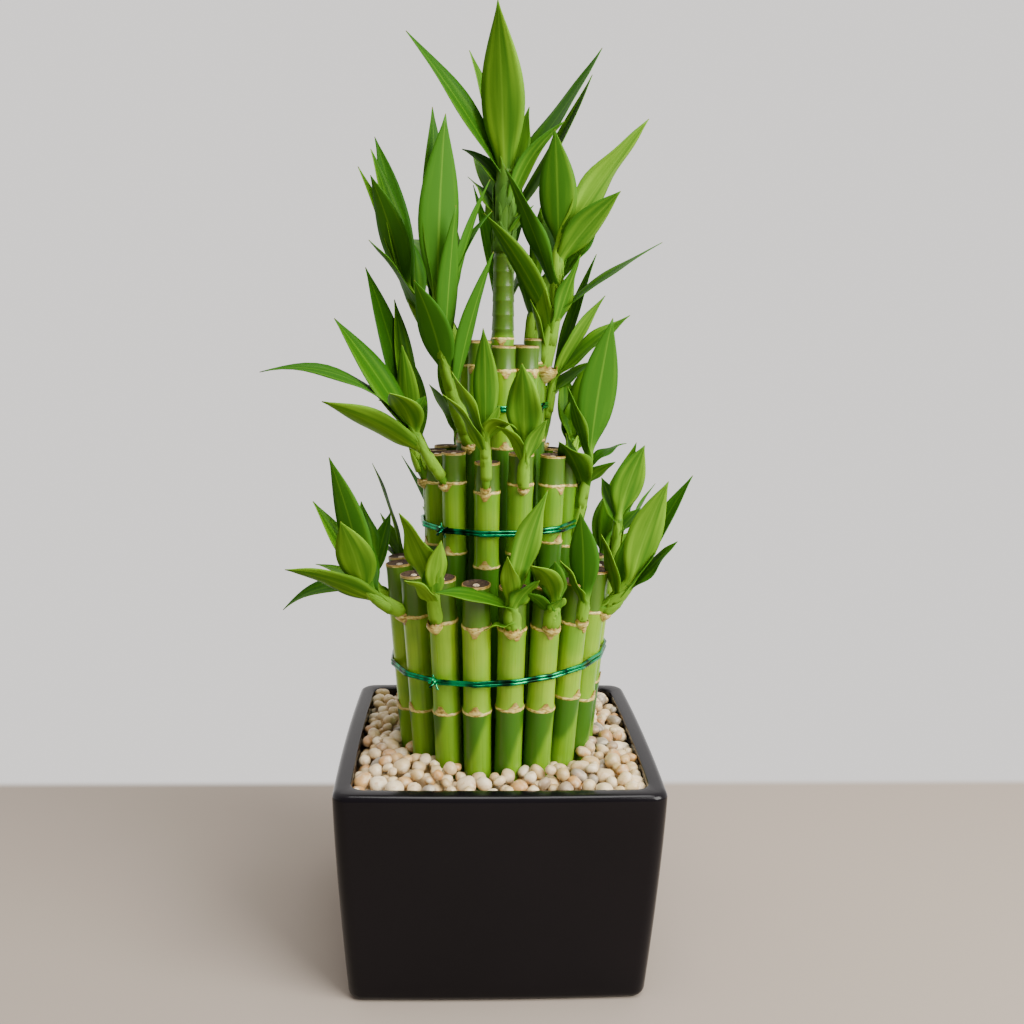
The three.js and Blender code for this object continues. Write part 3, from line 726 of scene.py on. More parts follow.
def leaf_material(name, colour, roughness):
    """One side of a blade: soft bands and fine veins along it, a light midrib and a pale foot.

    Each leaf's attribute "tone" picks its bands and how bright it is. "Age" dulls its foot.
    """
    recipe = Recipe(name)
    across, along, _ = recipe.axes(recipe.place("UV"))
    tone = recipe.attribute("tone", "Fac")
    veins = recipe.noise(recipe.combined(recipe.math("MULTIPLY", across, 9), along, tone), 1, 1)
    bands = recipe.noise(recipe.combined(recipe.math("MULTIPLY", across, 2.8), along, tone), 1.5, 2)
    share = recipe.math("MULTIPLY_ADD", tone, 0.7, recipe.math("MULTIPLY_ADD", bands, 1.25, -0.62))
    share = recipe.math("MULTIPLY_ADD", veins, 0.25, recipe.math("ADD", share, -0.16))
    blade = recipe.mix(recipe.between(share, 0.0, 1.0), tuple(colour), tinted(colour, 5.4, 3.0, 2.4))
    aside = recipe.math("ABSOLUTE", recipe.math("SUBTRACT", across, 0.5))
    rib = recipe.math("SUBTRACT", 1.0, recipe.between(aside, 0.0, 0.05))
    light = tinted(colour, 7.0, 3.7, 4.2)
    ribbed = recipe.mix(recipe.math("MULTIPLY", rib, 0.22), blade, light)
    foot = recipe.math("SUBTRACT", 1.0, recipe.between(along, 0.10, 0.34))
    age = recipe.attribute("age", "Fac")
    pale = recipe.mix(age, light, tinted(colour, 1.5, 1.05, 2.2))
    paled = recipe.math("MULTIPLY", foot, recipe.math("MULTIPLY_ADD", age, 0.4, 0.5))
    footed = recipe.mix(paled, ribbed, pale)
    dry_tip = recipe.math("MULTIPLY", recipe.between(along, 0.988, 1.0), 0.6)
    recipe.shine(base_color=recipe.mix(dry_tip, footed, (0.16, 0.10, 0.02)))
    recipe.shine(roughness=recipe.math("MULTIPLY_ADD", veins, 0.08, roughness), specular_ior_level=0.05)
    recipe.bump(bands, 0.05, 0.3)
    return recipe.owner


def stem_material(colour):
    """A shoot's stem: pale when young and duller with age, with fine lines along it."""
    recipe = Recipe("young_stem")
    lines = recipe.noise(recipe.stretched(recipe.attribute("rest"), (1400, 1400, 40)), 1, 3)
    mottle = recipe.noise(recipe.place(), 90, 2)
    patches = recipe.between(mottle, 0.3, 0.7)
    pale = recipe.mix(patches, tinted(colour, 2.9, 1.9, 2.6), tinted(colour, 7.4, 3.8, 5.5))
    lined = recipe.mix(recipe.math("MULTIPLY", lines, 0.5), pale, tinted(colour, 3.0, 1.9, 2.4))
    old = recipe.mix(mottle, tinted(colour, 1.3, 1.0, 1.8), tinted(colour, 3.4, 1.7, 3.4))
    aged = recipe.math("MULTIPLY", recipe.attribute("age", "Fac"), 0.8)
    recipe.shine(base_color=recipe.mix(aged, lined, old))
    recipe.shine(roughness=0.42, specular_ior_level=0.16, subsurface_weight=0.08, subsurface_scale=0.002)
    recipe.bump(lines, 0.12, 0.6)
    return recipe.owner


def foil_material(colour):
    """Metallic foil, a little crinkled, with painted glints and shade: its colour goes from near black
    to bright green with the crinkles.
    """
    recipe = Recipe("green_foil")
    crinkle_and_glint = recipe.between(recipe.noise(recipe.place(), 130, 2), 0.36, 0.64)
    # Painted glints and shade: dark and bright colour along the crinkles.
    recipe.shine(base_color=recipe.mix(crinkle_and_glint, tinted(colour, 1, 0.12, 0.12), tinted(colour, 1, 3.4, 3.4)))
    recipe.shine(metallic=0.9, roughness=recipe.math("MULTIPLY_ADD", crinkle_and_glint, 0.14, 0.08))
    recipe.bump(crinkle_and_glint, 0.12, 0.5)
    return recipe.owner


WALL_GLOW = 1.2  # strength of the pale light behind the plant
COUNTER_EDGE = (0.154, 0.166)  # how far back the counter starts and ends fading into it


def floor_material(settings):
    """A plain counter that runs out into the pale light behind the plant."""
    recipe = Recipe("pale_floor")
    _, depth, _ = recipe.axes(recipe.place())
    away = recipe.between(depth, *COUNTER_EDGE)
    recipe.shine(base_color=recipe.mix(away, tuple(settings.floor), (0.0, 0.0, 0.0)), roughness=0.6)
    glow = recipe.math("MULTIPLY", away, WALL_GLOW)
    recipe.shine(emission_color=(*settings.wall, 1.0), emission_strength=glow, specular_ior_level=0.0)
    return recipe.owner


def room_world(settings):
    """Soft light from all round, brightest from behind the plant."""
    recipe = Recipe("soft_room", "worlds", "Background")
    _, depth, _ = recipe.axes(recipe.place("Generated"))
    light = recipe.mix(recipe.between(depth, -0.7, 0.5), tuple(settings.room), tuple(settings.wall))
    recipe.feed(recipe.shader.inputs["Color"], light)
    recipe.shader.inputs["Strength"].default_value = WALL_GLOW
    return recipe.owner


# ---------- pot ----------

SIDE_CUTS = 7
CORNER_STEPS = 8
WALL_STEPS = 12
TAPER_POWER = 1.37  # above 1, so that the sides draw in faster towards the foot
INNER_LIP = 1.6 * MM  # radius of the rim's inner edge
FOOT_EDGE = 3.6 * MM  # radius of the edge round the foot
RIM_PARTING = 5.4 * MM  # how far in from the outside the rim's outer and inner edges are told apart
COVE = 4 * MM  # how far the inside draws in where it meets the floor


def rounded_square(name, half, corner, bow, height):
    """A flat square with round corners and bowed sides, facing up."""
    bpy.ops.mesh.primitive_plane_add(size=2 * (half - bow), location=(0, 0, height))
    piece = added(name)
    flat = half - bow - corner
    with editing(piece, "VERT"):
        choose(piece, "verts", lambda vert: True)
        bpy.ops.mesh.bevel(offset=corner, segments=CORNER_STEPS, affect="VERTICES")
        choose(piece, "edges", lambda edge: edge.calc_length() > corner)
        bpy.ops.mesh.subdivide(number_cuts=SIDE_CUTS)
        for step in range(SIDE_CUTS // 2 + 1):
            offset = flat * step * 2 / (SIDE_CUTS + 1)
            choose(piece, "verts", lambda vert: abs(min(abs(vert.co.x), abs(vert.co.y)) - offset) < 0.01 * MM)
            bulge = 1 + bow * (1 - (offset / flat) ** 2) / half
            bpy.ops.transform.resize(value=(bulge, bulge, 1), center_override=(0, 0, height))
    return piece


def pot_half_width(settings, height):
    """Half the pot's width at a height above its foot."""
    down = (RIM - height) / RIM
    return POT_HIGH.x - settings.taper * down ** TAPER_POWER


class LUCKYBAMBOO_OT_pot(bpy.types.Operator):
    """Throw the square pot and glaze it"""

    bl_idname = "lucky_bamboo.pot"
    bl_label = "Pot"

    def execute(self, context):
        settings = context.scene.lucky_bamboo_pot
        foot = pot_half_width(settings, 0)
        pot = rounded_square("glazed_pot", foot, settings.corner * foot / POT_HIGH.x, settings.bow, 0)
        heights = [RIM * step / WALL_STEPS for step in range(WALL_STEPS + 1)]
        outside = [(pot_half_width(settings, height), height) for height in heights]
        inside = [(half - settings.wall, height) for half, height in outside[:1:-2]]
        bottom = pot_half_width(settings, settings.floor) - settings.wall - COVE
        with editing(pot):
            choose(pot, "faces", lambda face: True)
            grow_rings([*outside, *inside, (bottom, settings.floor)])
            turn_outwards()
            self.round_edges(pot, settings)
        shade_rounded(pot, 50)
        pot.data.materials.append(glaze_material(settings.glaze))
        pot.data.materials.append(clay_material())
        with editing(pot):
            assign(pot, 1, lambda face: face.calc_center_median().z < 0.1 * MM)
        finished(pot, "pot_glaze", "pot")
        return {"FINISHED"}

    def round_edges(self, pot, settings):
        """Rounds the two edges of the rim and the edge of the foot."""
        parting = POT_HIGH.x - RIM_PARTING
        edges = ((RIM, True, settings.lip, 5), (RIM, False, INNER_LIP, 3), (0, True, FOOT_EDGE, 5))
        for height, outer, radius, segments in edges:
            def on_edge(place):
                out = max(abs(place.x), abs(place.y))
                level = abs(place.z - height) < 0.01 * MM
                return level and (height == 0 or (out > parting) == outer)

            bpy.ops.mesh.select_mode(type="EDGE")
            choose(pot, "edges", edge_between(on_edge))
            bpy.ops.mesh.bevel(offset=radius, segments=segments, affect="EDGES", clamp_overlap=True)


# ---------- pebbles ----------

PEBBLE_SHAPES = (  # proportions of the patterns
    (1.08, 0.96, 0.86), (1.2, 0.92, 0.82), (1.02, 0.96, 0.94), (1.14, 1.0, 0.76), (1.08, 0.88, 0.92),
)
SIDES = ("front", "right", "back", "left")
BUNDLE_CORE = 37 * MM  # no pebble lies inside the ring of canes
HEAP_SLOPE = 14 * MM  # how far from the walls the pebbles have risen to their full height
PEBBLE_OVERLAP = 0.92  # how close two pebbles' middles may come, as a part of their radii
CANE_OVERLAP = 0.7  # how close a pebble's middle may come to a cane, as a part of its radius
WALL_PULL = 1.07  # spots are drawn from a little past the walls, so that more pebbles line them
SPOTS = 40  # how many spots each pebble can choose from
FULL = 180  # how many pebbles find no room before the pot is full


def pebble_pattern(number, proportions):
    """One tumbled stone of about unit radius."""
    bpy.ops.mesh.primitive_cube_add(size=2)
    stone = added(f"pebble_pattern_{number}")
    with editing(stone, "VERT"):
        bpy.ops.mesh.select_all(action="SELECT")
        bpy.ops.mesh.subdivide(number_cuts=2)
        bpy.ops.transform.tosphere(value=1)
        bpy.ops.transform.resize(value=(0.577, 0.577, 0.577))
        bpy.ops.transform.vertex_random(offset=0.16, seed=number + 3)
        bpy.ops.mesh.vertices_smooth(factor=0.5, repeat=2)
    mean = sum(vert.co.length for vert in stone.data.vertices) / len(stone.data.vertices)
    stone.scale = tuple(share / mean for share in proportions)
    settle(stone)
    pick(stone)
    bpy.ops.object.shade_smooth()
    return stone


def settled_pebbles(settings, reach, canes):
    """Lets pebbles sink one by one where the heap has most room left, as rows of x, y, z and radius."""
    chance = np.random.default_rng(settings.seed)
    bed = RIM - settings.depth
    feet = np.array([(at.x, at.y, thick) for at, thick in canes])
    pebbles = np.empty((0, 4))
    misses = 0
    while misses < FULL:
        radius = settings.smallest + (settings.largest - settings.smallest) * chance.random() ** 1.1
        drawn = chance.uniform(-WALL_PULL * reach, WALL_PULL * reach, (SPOTS, 2))
        spots = np.clip(drawn, radius - reach, reach - radius)
        from_feet = np.linalg.norm(spots[:, None] - feet[:, :2], axis=2) - feet[:, 2]
        outside = np.linalg.norm(spots, axis=1) > BUNDLE_CORE
        spots = spots[outside & (from_feet.min(axis=1) > CANE_OVERLAP * radius)]
        if not len(spots):
            continue
        # At each spot it comes to rest on the pebble that holds it highest, or on the bed.
        touch = ((radius + pebbles[:, 3]) * PEBBLE_OVERLAP) ** 2
        over = touch - ((spots[:, None] - pebbles[:, :2]) ** 2).sum(axis=2)
        rests = np.where(over > 0, pebbles[:, 2] + np.sqrt(np.maximum(over, 0)), 0)
        heights = rests.max(axis=1, initial=bed + radius)
        from_wall = np.clip((reach - np.abs(spots).max(axis=1)) / HEAP_SLOPE, 0, 1)
        surface = RIM - settings.level + settings.heap * np.sin(from_wall * math.pi / 2)
        room = surface - heights - radius
        best = room.argmax()
        if room[best] < 0:
            misses += 1
        else:
            pebbles = np.vstack([pebbles, [*spots[best], heights[best], radius]])
    return pebbles


class LUCKYBAMBOO_OT_pebbles(bpy.types.Operator):
    """Fill the pot with tumbled pebbles round the canes"""

    bl_idname = "lucky_bamboo.pebbles"
    bl_label = "Pebbles"

    def execute(self, context):
        pot = context.scene.lucky_bamboo_pot
        settings = context.scene.lucky_bamboo_pebbles
        self.lay_bedding(pot, settings)
        tier = TIERS["outer"]
        surface = -settings.depth / MM / 2
        canes = [(cane_point(tier, angle, surface), tier["radius"] * MM) for angle in tier["angles"]]
        reach = POT_HIGH.x - pot.wall - 0.5 * MM
        chance = random.Random(settings.seed + 1)
        patterns = [pebble_pattern(number, shape) for number, shape in enumerate(PEBBLE_SHAPES)]
        material = pebble_material()
        heaps = {side: [] for side in SIDES}
        for x, y, z, radius in settled_pebbles(settings, reach, canes).tolist():
            stone = copied(chance.choice(patterns), "pebble")
            stone.location = (x, y, z)
            stone.scale = (radius, radius, radius)
            tipped = (chance.gauss(0, 0.35), chance.gauss(0, 0.35))
            stone.rotation_euler = (*tipped, chance.uniform(0, math.tau))
            mark(stone, "tone", chance.random())
            quarter = round(math.atan2(x, -y) / (math.pi / 2)) % len(SIDES)
            heaps[SIDES[quarter]].append(stone)
        for side, stones in heaps.items():
            pick(*stones)
            bpy.ops.object.transform_apply(location=True, rotation=True, scale=True)
            heap = joined(stones, f"pebbles_{side}")
            heap.data.materials.append(material)
            finished(heap, "pebbles", "pebble_bed")
        discard(*patterns)
        return {"FINISHED"}

    def lay_bedding(self, pot, settings):
        """The gravel below the pebbles that show."""
        gap = 0.4 * MM
        low = pot.floor + gap
        high = RIM - settings.depth
        inset = pot.wall + gap
        half = pot_half_width(pot, low) - inset - COVE
        bedding = rounded_square("pebble_bedding", half, pot.corner, pot.bow, low)
        shoulder = pot.floor + 6 * MM
        rings = [(half, low), *((pot_half_width(pot, level) - inset, level) for level in (shoulder, high))]
        with editing(bedding):
            choose(bedding, "faces", lambda face: True)
            grow_rings(rings)
            turn_outwards()
        bedding.data.materials.append(painted_shade_bedding_material())
        finished(bedding, "pebbles", "pebble_bed")


# ---------- canes ----------

CANE_SIDES = 32
SKIN, HUSK, CUT, PITH = range(4)
CUT_EDGE = 0.93  # where a cut top's dark hollow begins, as a part of the cane's radius
SCAR_STEP = 6.3  # height between the rings that fallen leaves left
NODE_REACH = 13  # how far above and below a node the cane's shape follows it
HUSK_SWELL = (  # how far each row of a husk ring between two heights stands out
    (0.0, 0.03, 1.045), (-0.03, 0.0, 1.055), (-0.07, -0.05, 1.04),
)


def heading(azimuth, rise):
    """The unit vector towards an azimuth and a rise in degrees."""
    turn, tilt = math.radians(azimuth), math.radians(rise)
    return Vector((math.cos(tilt) * math.cos(turn), math.cos(tilt) * math.sin(turn), math.sin(tilt)))


def cane_point(tier, angle, height):
    """The centre line of a cane at a height in millimetres from the rim."""
    out = tier["ring"] + math.tan(math.radians(tier["lean"])) * height
    return heading(angle - 90, 0) * out * MM + Vector((0, 0, RIM + height * MM))


def turn_of(place):
    """The angle round the Z axis at which a place lies, counted from +X."""
    return math.atan2(place.y, place.x)


def husk_ring_pattern():
    """The torn papery ring at a node, of unit radius, with a pointed bud scar towards +X."""
    chance = random.Random(11)
    bpy.ops.mesh.primitive_cylinder_add(
        vertices=48, radius=1, depth=0.16, end_fill_type="NOTHING", location=(0, 0, -0.02))
    ring = added("husk_ring")
    with editing(ring, "EDGE"):
        choose(ring, "edges", lambda edge: abs(edge.verts[0].co.z - edge.verts[1].co.z) > 0.1)
        bpy.ops.mesh.subdivide(number_cuts=3)
        bpy.ops.mesh.select_mode(type="VERT")
        for low, high, ratio in HUSK_SWELL:
            choose(ring, "verts", lambda vert: low <= vert.co.z <= high)
            bpy.ops.transform.resize(value=(ratio, ratio, 1), center_override=(0, 0, 0))
        for half_angle in (0.5, 0.36, 0.24, 0.13):
            choose(ring, "verts", lambda vert: vert.co.z > 0.05 and abs(turn_of(vert.co)) < half_angle)
            bpy.ops.transform.translate(value=(0.014, 0, 0.085))
        choose(ring, "verts", lambda vert: vert.co.z > 0.05 and chance.random() < 0.35)
        bpy.ops.transform.translate(value=(0, 0, 0.03))
        choose(ring, "verts", lambda vert: vert.co.z < -0.09 and chance.random() < 0.35)
        bpy.ops.transform.translate(value=(0, 0, -0.03))
        bpy.ops.mesh.select_all(action="SELECT")
        bpy.ops.transform.vertex_random(offset=0.006, seed=4)
    fade_edges(ring, -0.085, 0.045)
    apply_modifier(ring, "SOLIDIFY", thickness=0.05, offset=-0.6)
    shade_rounded(ring, 60)
    return ring


def sized(tier, rings):
    """Rings as (radius, height) in metres, from (share of the cane's radius, height)."""
    return [(share * tier["radius"] * MM, height * MM) for share, height in rings]


def cane_rings(tier):
    """A cut cane's outline from foot to cut top, with a swelling at each node."""
    rings = [(1.0, CANE_BOTTOM)]
    for node in tier["nodes"]:
        rings += [
            (0.985, node - 12), (1.0, node - 4), (1.045, node - 0.8), (1.04, node + 0.4),
            (0.985, node + 1.8), (0.965, node + 6),
        ]
    top = CANE_BOTTOM + tier["length"]
    rings += [(0.97, top - 2.5), (1.0, top - 1), (1.0, top - 0.2), (CUT_EDGE, top)]
    return sized(tier, rings)


def cut_rings(tier):
    """The outline of a cut top's dark hollow, with the pith standing in its middle."""
    top = CANE_BOTTOM + tier["length"]
    rings = [(CUT_EDGE, top), (0.8, top - 0.7), (0.24, top - 0.9), (0.2, top - 0.5), (0.1, top - 0.4)]
    return sized(tier, rings)


def scarred_rings(tier):
    """The outline of a cane that goes on growing, with the rings that its fallen leaves left."""
    low, high = tier["nodes"]
    top = CANE_BOTTOM + tier["length"]
    rings = [(1.0, CANE_BOTTOM), (1.0, low - 4), (1.05, low), (0.98, low + 2)]
    rings += [(0.98, high - 4), (1.06, high)]
    scar = high + 3.5
    while scar < top - 2:
        share = 0.99 - 0.0022 * (scar - high)
        rings += [(share - 0.02, scar), (share + 0.03, scar + 0.5), (share + 0.02, scar + 1.1)]
        scar += SCAR_STEP
    rings.append((0.86, top))
    return sized(tier, rings)


def within(radius):
    """A test that a face passes when all of it lies within a radius of the Z axis."""
    return lambda face: all(vert.co.xy.length < radius for vert in face.verts)


def collar(husk_ring, radius, height, tip, material):
    """A husk ring round a node of a cane, with its bud scar pointing up or tipped to point down."""
    ring = copied(husk_ring, "collar")
    ring.scale = (1.01 * radius, 1.01 * radius, 1.45 * radius)
    ring.rotation_euler.x = tip
    ring.location.z = height
    settle(ring)
    ring.data.materials.append(material)
    return ring


def cane_pattern(name, tier, husk_ring, materials):
    """One cane, standing on the Z axis with the rim's height at 0 and its bud scars towards +X."""
    leafy = tier is TIERS["centre"]
    outline = scarred_rings(tier) if leafy else cane_rings(tier)
    (radius, bottom), (_, first) = outline[:2]
    bpy.ops.mesh.primitive_cylinder_add(
        vertices=CANE_SIDES, radius=radius, depth=first - bottom, location=(0, 0, (first + bottom) / 2))
    cane = added(name)
    with editing(cane):
        choose(cane, "faces", lambda face: face.normal.z > 0.9)
        bpy.ops.transform.resize(value=(outline[1][0] / radius,) * 2 + (1,), center_override=(0, 0, first))
        grow_rings(outline[1:] if leafy else [*outline[1:], *cut_rings(tier)[1:]])
    for material in materials:
        cane.data.materials.append(material)
    top = outline[-1][1]
    low, high = (node * MM for node in tier["nodes"])
    with editing(cane):
        if leafy:
            assign(cane, HUSK, lambda face: face.calc_center_median().z > high and face.normal.z > 0.3)
        else:
            assign(cane, HUSK, lambda face: face.calc_center_median().z > top - 1 * MM)
            assign(cane, CUT, within(1.01 * CUT_EDGE * radius))
            assign(cane, PITH, within(0.25 * radius))
    remember_shape(cane)
    zone = cane.data.attributes.new("zone", "FLOAT", "POINT")
    zone.data.foreach_set("value", [(vert.co.z > low) + (vert.co.z > high) for vert in cane.data.vertices])
    if not leafy:
        fade_edges(cane, bottom - MM, top - 0.5 * MM)
    shade_rounded(cane, 42)
    upright, tipped = 0, math.pi
    collars = [
        collar(husk_ring, radius, low, upright, materials[HUSK]),
        collar(husk_ring, radius, high, tipped, materials[HUSK]),
    ]
    return joined([*collars, cane], name)


class LUCKYBAMBOO_OT_canes(bpy.types.Operator):
    """Cut the canes of the three tiers and stand them in their rings"""

    bl_idname = "lucky_bamboo.canes"
    bl_label = "Canes"

    def execute(self, context):
        plant = context.scene.lucky_bamboo_plant
        chance = random.Random(5)
        materials = (
            cane_material(plant.cane, plant.cane_shade), husk_material(plant.husk),
            cut_material(), pith_material(),
        )
        husk_ring = husk_ring_pattern()
        for tier_name, tier in TIERS.items():
            pattern = cane_pattern(f"{tier_name}_cane_pattern", tier, husk_ring, materials)
            for index in range(len(tier["angles"])):
                node = "centre_cane" if tier_name == "centre" else f"{tier_name}_cane_{index + 1:02}"
                self.stand(pattern, node, tier, index, chance)
            discard(pattern)
        discard(husk_ring)
        return {"FINISHED"}

    def stand(self, pattern, node, tier, index, chance):
        """Copies a cane, slides its lower node, makes it thicker or longer, and leans it in its place."""
        cane = copied(pattern, f"{node}_skin")
        angle, usual = tier["angles"][index], tier["nodes"][0]
        with editing(cane, "VERT"):
            choose(cane, "verts", lambda vert: abs(vert.co.z - usual * MM) < NODE_REACH * MM)
            bpy.ops.transform.translate(value=(0, 0, (tier["low_nodes"][index] - usual) * MM))
        mark(cane, "tone", tier["freshness"] + chance.uniform(-0.15, 0.15))
        thick = chance.uniform(0.97, 1.03)
        cane.scale = (thick, thick, chance.uniform(0.982, 1.015))
        cane.rotation_euler.z = chance.gauss(0, 0.16)
        settle(cane)
        cane.rotation_euler = (0, math.radians(tier["lean"]), math.radians(angle - 90))
        cane.location = cane_point(tier, angle, 0)
        settle(cane)
        finished(cane, "canes", node)


# ---------- ties ----------

ARC_STEPS = 6
STRAND_LEVELS = (-0.95, 0.95)  # how far below and above the tie's middle its strands run
STRAND_OUT = 0.85  # how far a strand's middle stands off the canes
KNOT_OUT = 1.3  # how far the knot starts off the canes
TWIST_STEP = 0.8  # radians between two points of the twisted wires


def tie_route(tier, tie, off):
    """The taut path round a ring of canes, as (place, degrees from the knot)."""
    angles = tier["angles"]
    route = []
    for i, angle in enumerate(angles):
        before = (angles[i - 1] - angle - 360) % 360 - 360
        after = (angles[(i + 1) % len(angles)] - angle) % 360
        level = cane_point(tier, angle, tie["height"])
        centre = cane_point(tier, angle, tie["height"] + tie["tilt"] * level.x / MM)
        for step in range(ARC_STEPS):
            turn = before / 2 + (after - before) / 2 * step / (ARC_STEPS - 1)
            bearing = math.radians(angle + turn - 90)
            place = centre + off * Vector((math.cos(bearing), math.sin(bearing), 0))
            away = (angle + turn - tie["knot_angle"] + 180) % 360 - 180
            route.append((place, away))
    return route


def wire(name, places, radius, closed, material):
    """A round wire through places."""
    if closed:
        bpy.ops.mesh.primitive_circle_add(vertices=len(places), radius=1)
    else:
        bpy.ops.mesh.primitive_grid_add(x_subdivisions=len(places) - 1, y_subdivisions=1)
    strand = added(name)
    if not closed:
        with editing(strand, "VERT"):
            choose(strand, "verts", lambda vert: vert.co.y > 0)
            bpy.ops.mesh.delete(type="VERT")
    for vert, place in zip(strand.data.vertices, places):
        vert.co = place
    pick(strand)
    bpy.ops.object.convert(target="CURVE")
    strand = bpy.context.view_layer.objects.active
    strand.data.bevel_depth = radius
    strand.data.bevel_resolution = 2
    strand.data.use_fill_caps = True
    bpy.ops.object.convert(target="MESH")
    strand = bpy.context.view_layer.objects.active
    strand.data.materials.append(material)
    bpy.ops.object.shade_smooth()
    return strand


class LUCKYBAMBOO_OT_ties(bpy.types.Operator):
    """Bind each ring of canes with strands of foil-wrapped wire"""

    bl_idname = "lucky_bamboo.ties"
    bl_label = "Ties"

    def execute(self, context):
        plant = context.scene.lucky_bamboo_plant
        material = foil_material(plant.foil)
        for tier_name, tie in TIES.items():
            tier = TIERS[tier_name]
            strands = self.strands(tier, tie, plant.strand, material)
            knot = self.knot(tier, tie, plant.strand, material)
            whole = joined([*strands, *knot], f"{tier_name}_tie_foil")
            finished(whole, "tie_foil", f"{tier_name}_tie")
        return {"FINISHED"}

    def strands(self, tier, tie, radius, material):
        """Two strands side by side that run together near the knot."""
        off = (tier["radius"] + STRAND_OUT) * MM
        made = []
        for level in STRAND_LEVELS:
            places = []
            for place, away in tie_route(tier, tie, off):
                spread = 1 - 0.7 * math.exp(-((away / 30) ** 2))
                wander = 0.28 * math.sin(math.radians(3 * away) + 2.1 * level)
                ripple = 0.12 * math.sin(level * 7 + away / 9)
                outwards = Vector((place.x, place.y, 0)).normalized()
                places.append(place + (outwards * ripple + Vector((0, 0, level * spread + wander))) * MM)
            made.append(wire("strand", places, radius, True, material))
        return made

    def knot(self, tier, tie, radius, material):
        """Two wires twisted together, with their snipped ends splayed."""
        out = heading(tie["knot_angle"] - 90, 0)
        side = Vector((-out.y, out.x, 0))
        up = Vector((0, 0, 1))
        level = cane_point(tier, tie["knot_angle"], tie["height"])
        foot = cane_point(tier, tie["knot_angle"], tie["height"] + tie["tilt"] * level.x / MM)
        foot += out * (tier["radius"] + KNOT_OUT) * MM

        def around(turn, off, forward):
            """A place that far off the knot's middle and in front of its foot."""
            return foot + ((side * math.cos(turn) + up * math.sin(turn)) * off + out * forward) * MM

        made = []
        for phase, splay in ((0, side * -1.4 + up * -1.9), (math.pi, side * 1.6 + up * 2.2)):
            turns = [step * TWIST_STEP for step in range(9)]
            helix = [around(phase + turn, 0.55, 0.36 * turn) for turn in turns]
            tail = helix[-1] + (out * 1.2 + splay) * MM
            made.append(wire("twist", [*helix, tail], radius * 0.7, False, material))
        for turn in (0.5, 1.9, 3.4, 5.2):
            ends = [around(turn, 0.4, 0), around(turn, 1.8, 0.9), around(turn, 3.4, 0.7)]
            made.append(wire("snipped_end", ends, radius * 0.6, False, material))
        return made


# ---------- shoots ----------

LEAF_COLUMNS = 8
SHEATH_ROWS = 5
BLADE_ROWS = 19
LEAF_TOP, LEAF_UNDER, STEM, STEM_HUSK = range(4)
# How far a leaf curls to either side of its midrib, round the stem and where its blade begins.
WRAP = math.radians(166)
GUTTER = math.radians(78)
NECK = 4 * MM
# How far a blade's sides are folded up, and how much its margins wave, for each form of blade.
BLADE_FORMS = {"spear": (14, 0.03), "plain": (17, 0.08), "wavy": (14, 0.24), "channel": (30, 0.06)}


def leaf_section(height, sheath, length, half, radius, fold):
    """A leaf at a height above its sheath's mouth: half its breadth, its curl, and its midrib's place."""
    along = max(0, height / length)
    lance = along ** 0.95 * (1 - along) ** 1.25 / 0.222
    blade = half * lance + 0.85 * radius * math.exp(-((along / 0.09) ** 2))
    curl = fold + (GUTTER - fold) * math.exp(-((along / 0.13) ** 2))
    opened = smooth((height + 0.55 * sheath) / (0.55 * sheath + NECK))
    breadth = WRAP * radius * (1 - opened) + blade * opened
    return max(breadth, 0.08 * MM), WRAP * (1 - opened) + curl * opened, radius * (1 - 0.56 * opened)


def straight_leaf(sheath, length, half, radius, form, phase):
    """A leaf that stands on the Z axis, its sheath below the origin and its midrib towards +Y."""
    fold, wave = BLADE_FORMS[form]
    heights = [-sheath * (1 - row / SHEATH_ROWS) for row in range(SHEATH_ROWS)]
    heights += [length * (row / BLADE_ROWS) ** 1.2 for row in range(BLADE_ROWS + 1)]
    last = len(heights) - 1
    bpy.ops.mesh.primitive_grid_add(x_subdivisions=LEAF_COLUMNS, y_subdivisions=last, size=1)
    leaf = added("leaf")
    for vert in leaf.data.vertices:
        across = 2 * vert.co.x
        height = heights[round((vert.co.y + 0.5) * last)]
        breadth, curl, midrib = leaf_section(height, sheath, length, half, radius, math.radians(fold))
        bow = breadth / curl
        ripple = wave * breadth * across ** 2 * math.sin(10 * height / length + phase + across)
        lift = ripple * smooth(6 * height / length - 0.6)
        turn = across * curl
        vert.co = (bow * math.sin(turn), midrib - bow * (1 - math.cos(turn)) + lift, height)
    pick(leaf)
    bpy.ops.object.shade_smooth()
    return leaf


def husk_pocket_pattern():
    """The torn skin that a shoot breaks out of, of unit radius, tapering to a point below."""
    chance = random.Random(23)
    bpy.ops.mesh.primitive_cylinder_add(
        vertices=28, radius=1.05, depth=0.3, end_fill_type="NOTHING", location=(0, 0, 0.05))
    pocket = added("husk_pocket")
    with editing(pocket, "EDGE"):
        choose(pocket, "edges", edge_between(lambda place: place.z < 0))
        for ratio, drop in ((0.93, 0.25), (0.78, 0.3), (0.62, 0.3), (0.4, 0.25), (0.1, 0.15)):
            bpy.ops.mesh.extrude_region_move(TRANSFORM_OT_translate={"value": (0, 0, -drop)})
            bpy.ops.transform.resize(value=(ratio, ratio, 1), center_override=(0, 0, 0))
        bpy.ops.mesh.select_mode(type="VERT")
        choose(pocket, "verts", lambda vert: vert.co.z > 0.15 and chance.random() < 0.4)
        bpy.ops.transform.translate(value=(0, 0, 0.22))
        choose(pocket, "verts", lambda vert: vert.co.z > 0.15)
        bpy.ops.transform.resize(value=(0.9, 0.9, 1), center_override=(0, 0, 0))
        bpy.ops.mesh.select_all(action="SELECT")
        bpy.ops.transform.vertex_random(offset=0.03, seed=2)
    fade_edges(pocket, -1.05, 0.15)
    apply_modifier(pocket, "SOLIDIFY", thickness=0.08, offset=1)
    shade_rounded(pocket, 50)
    return pocket


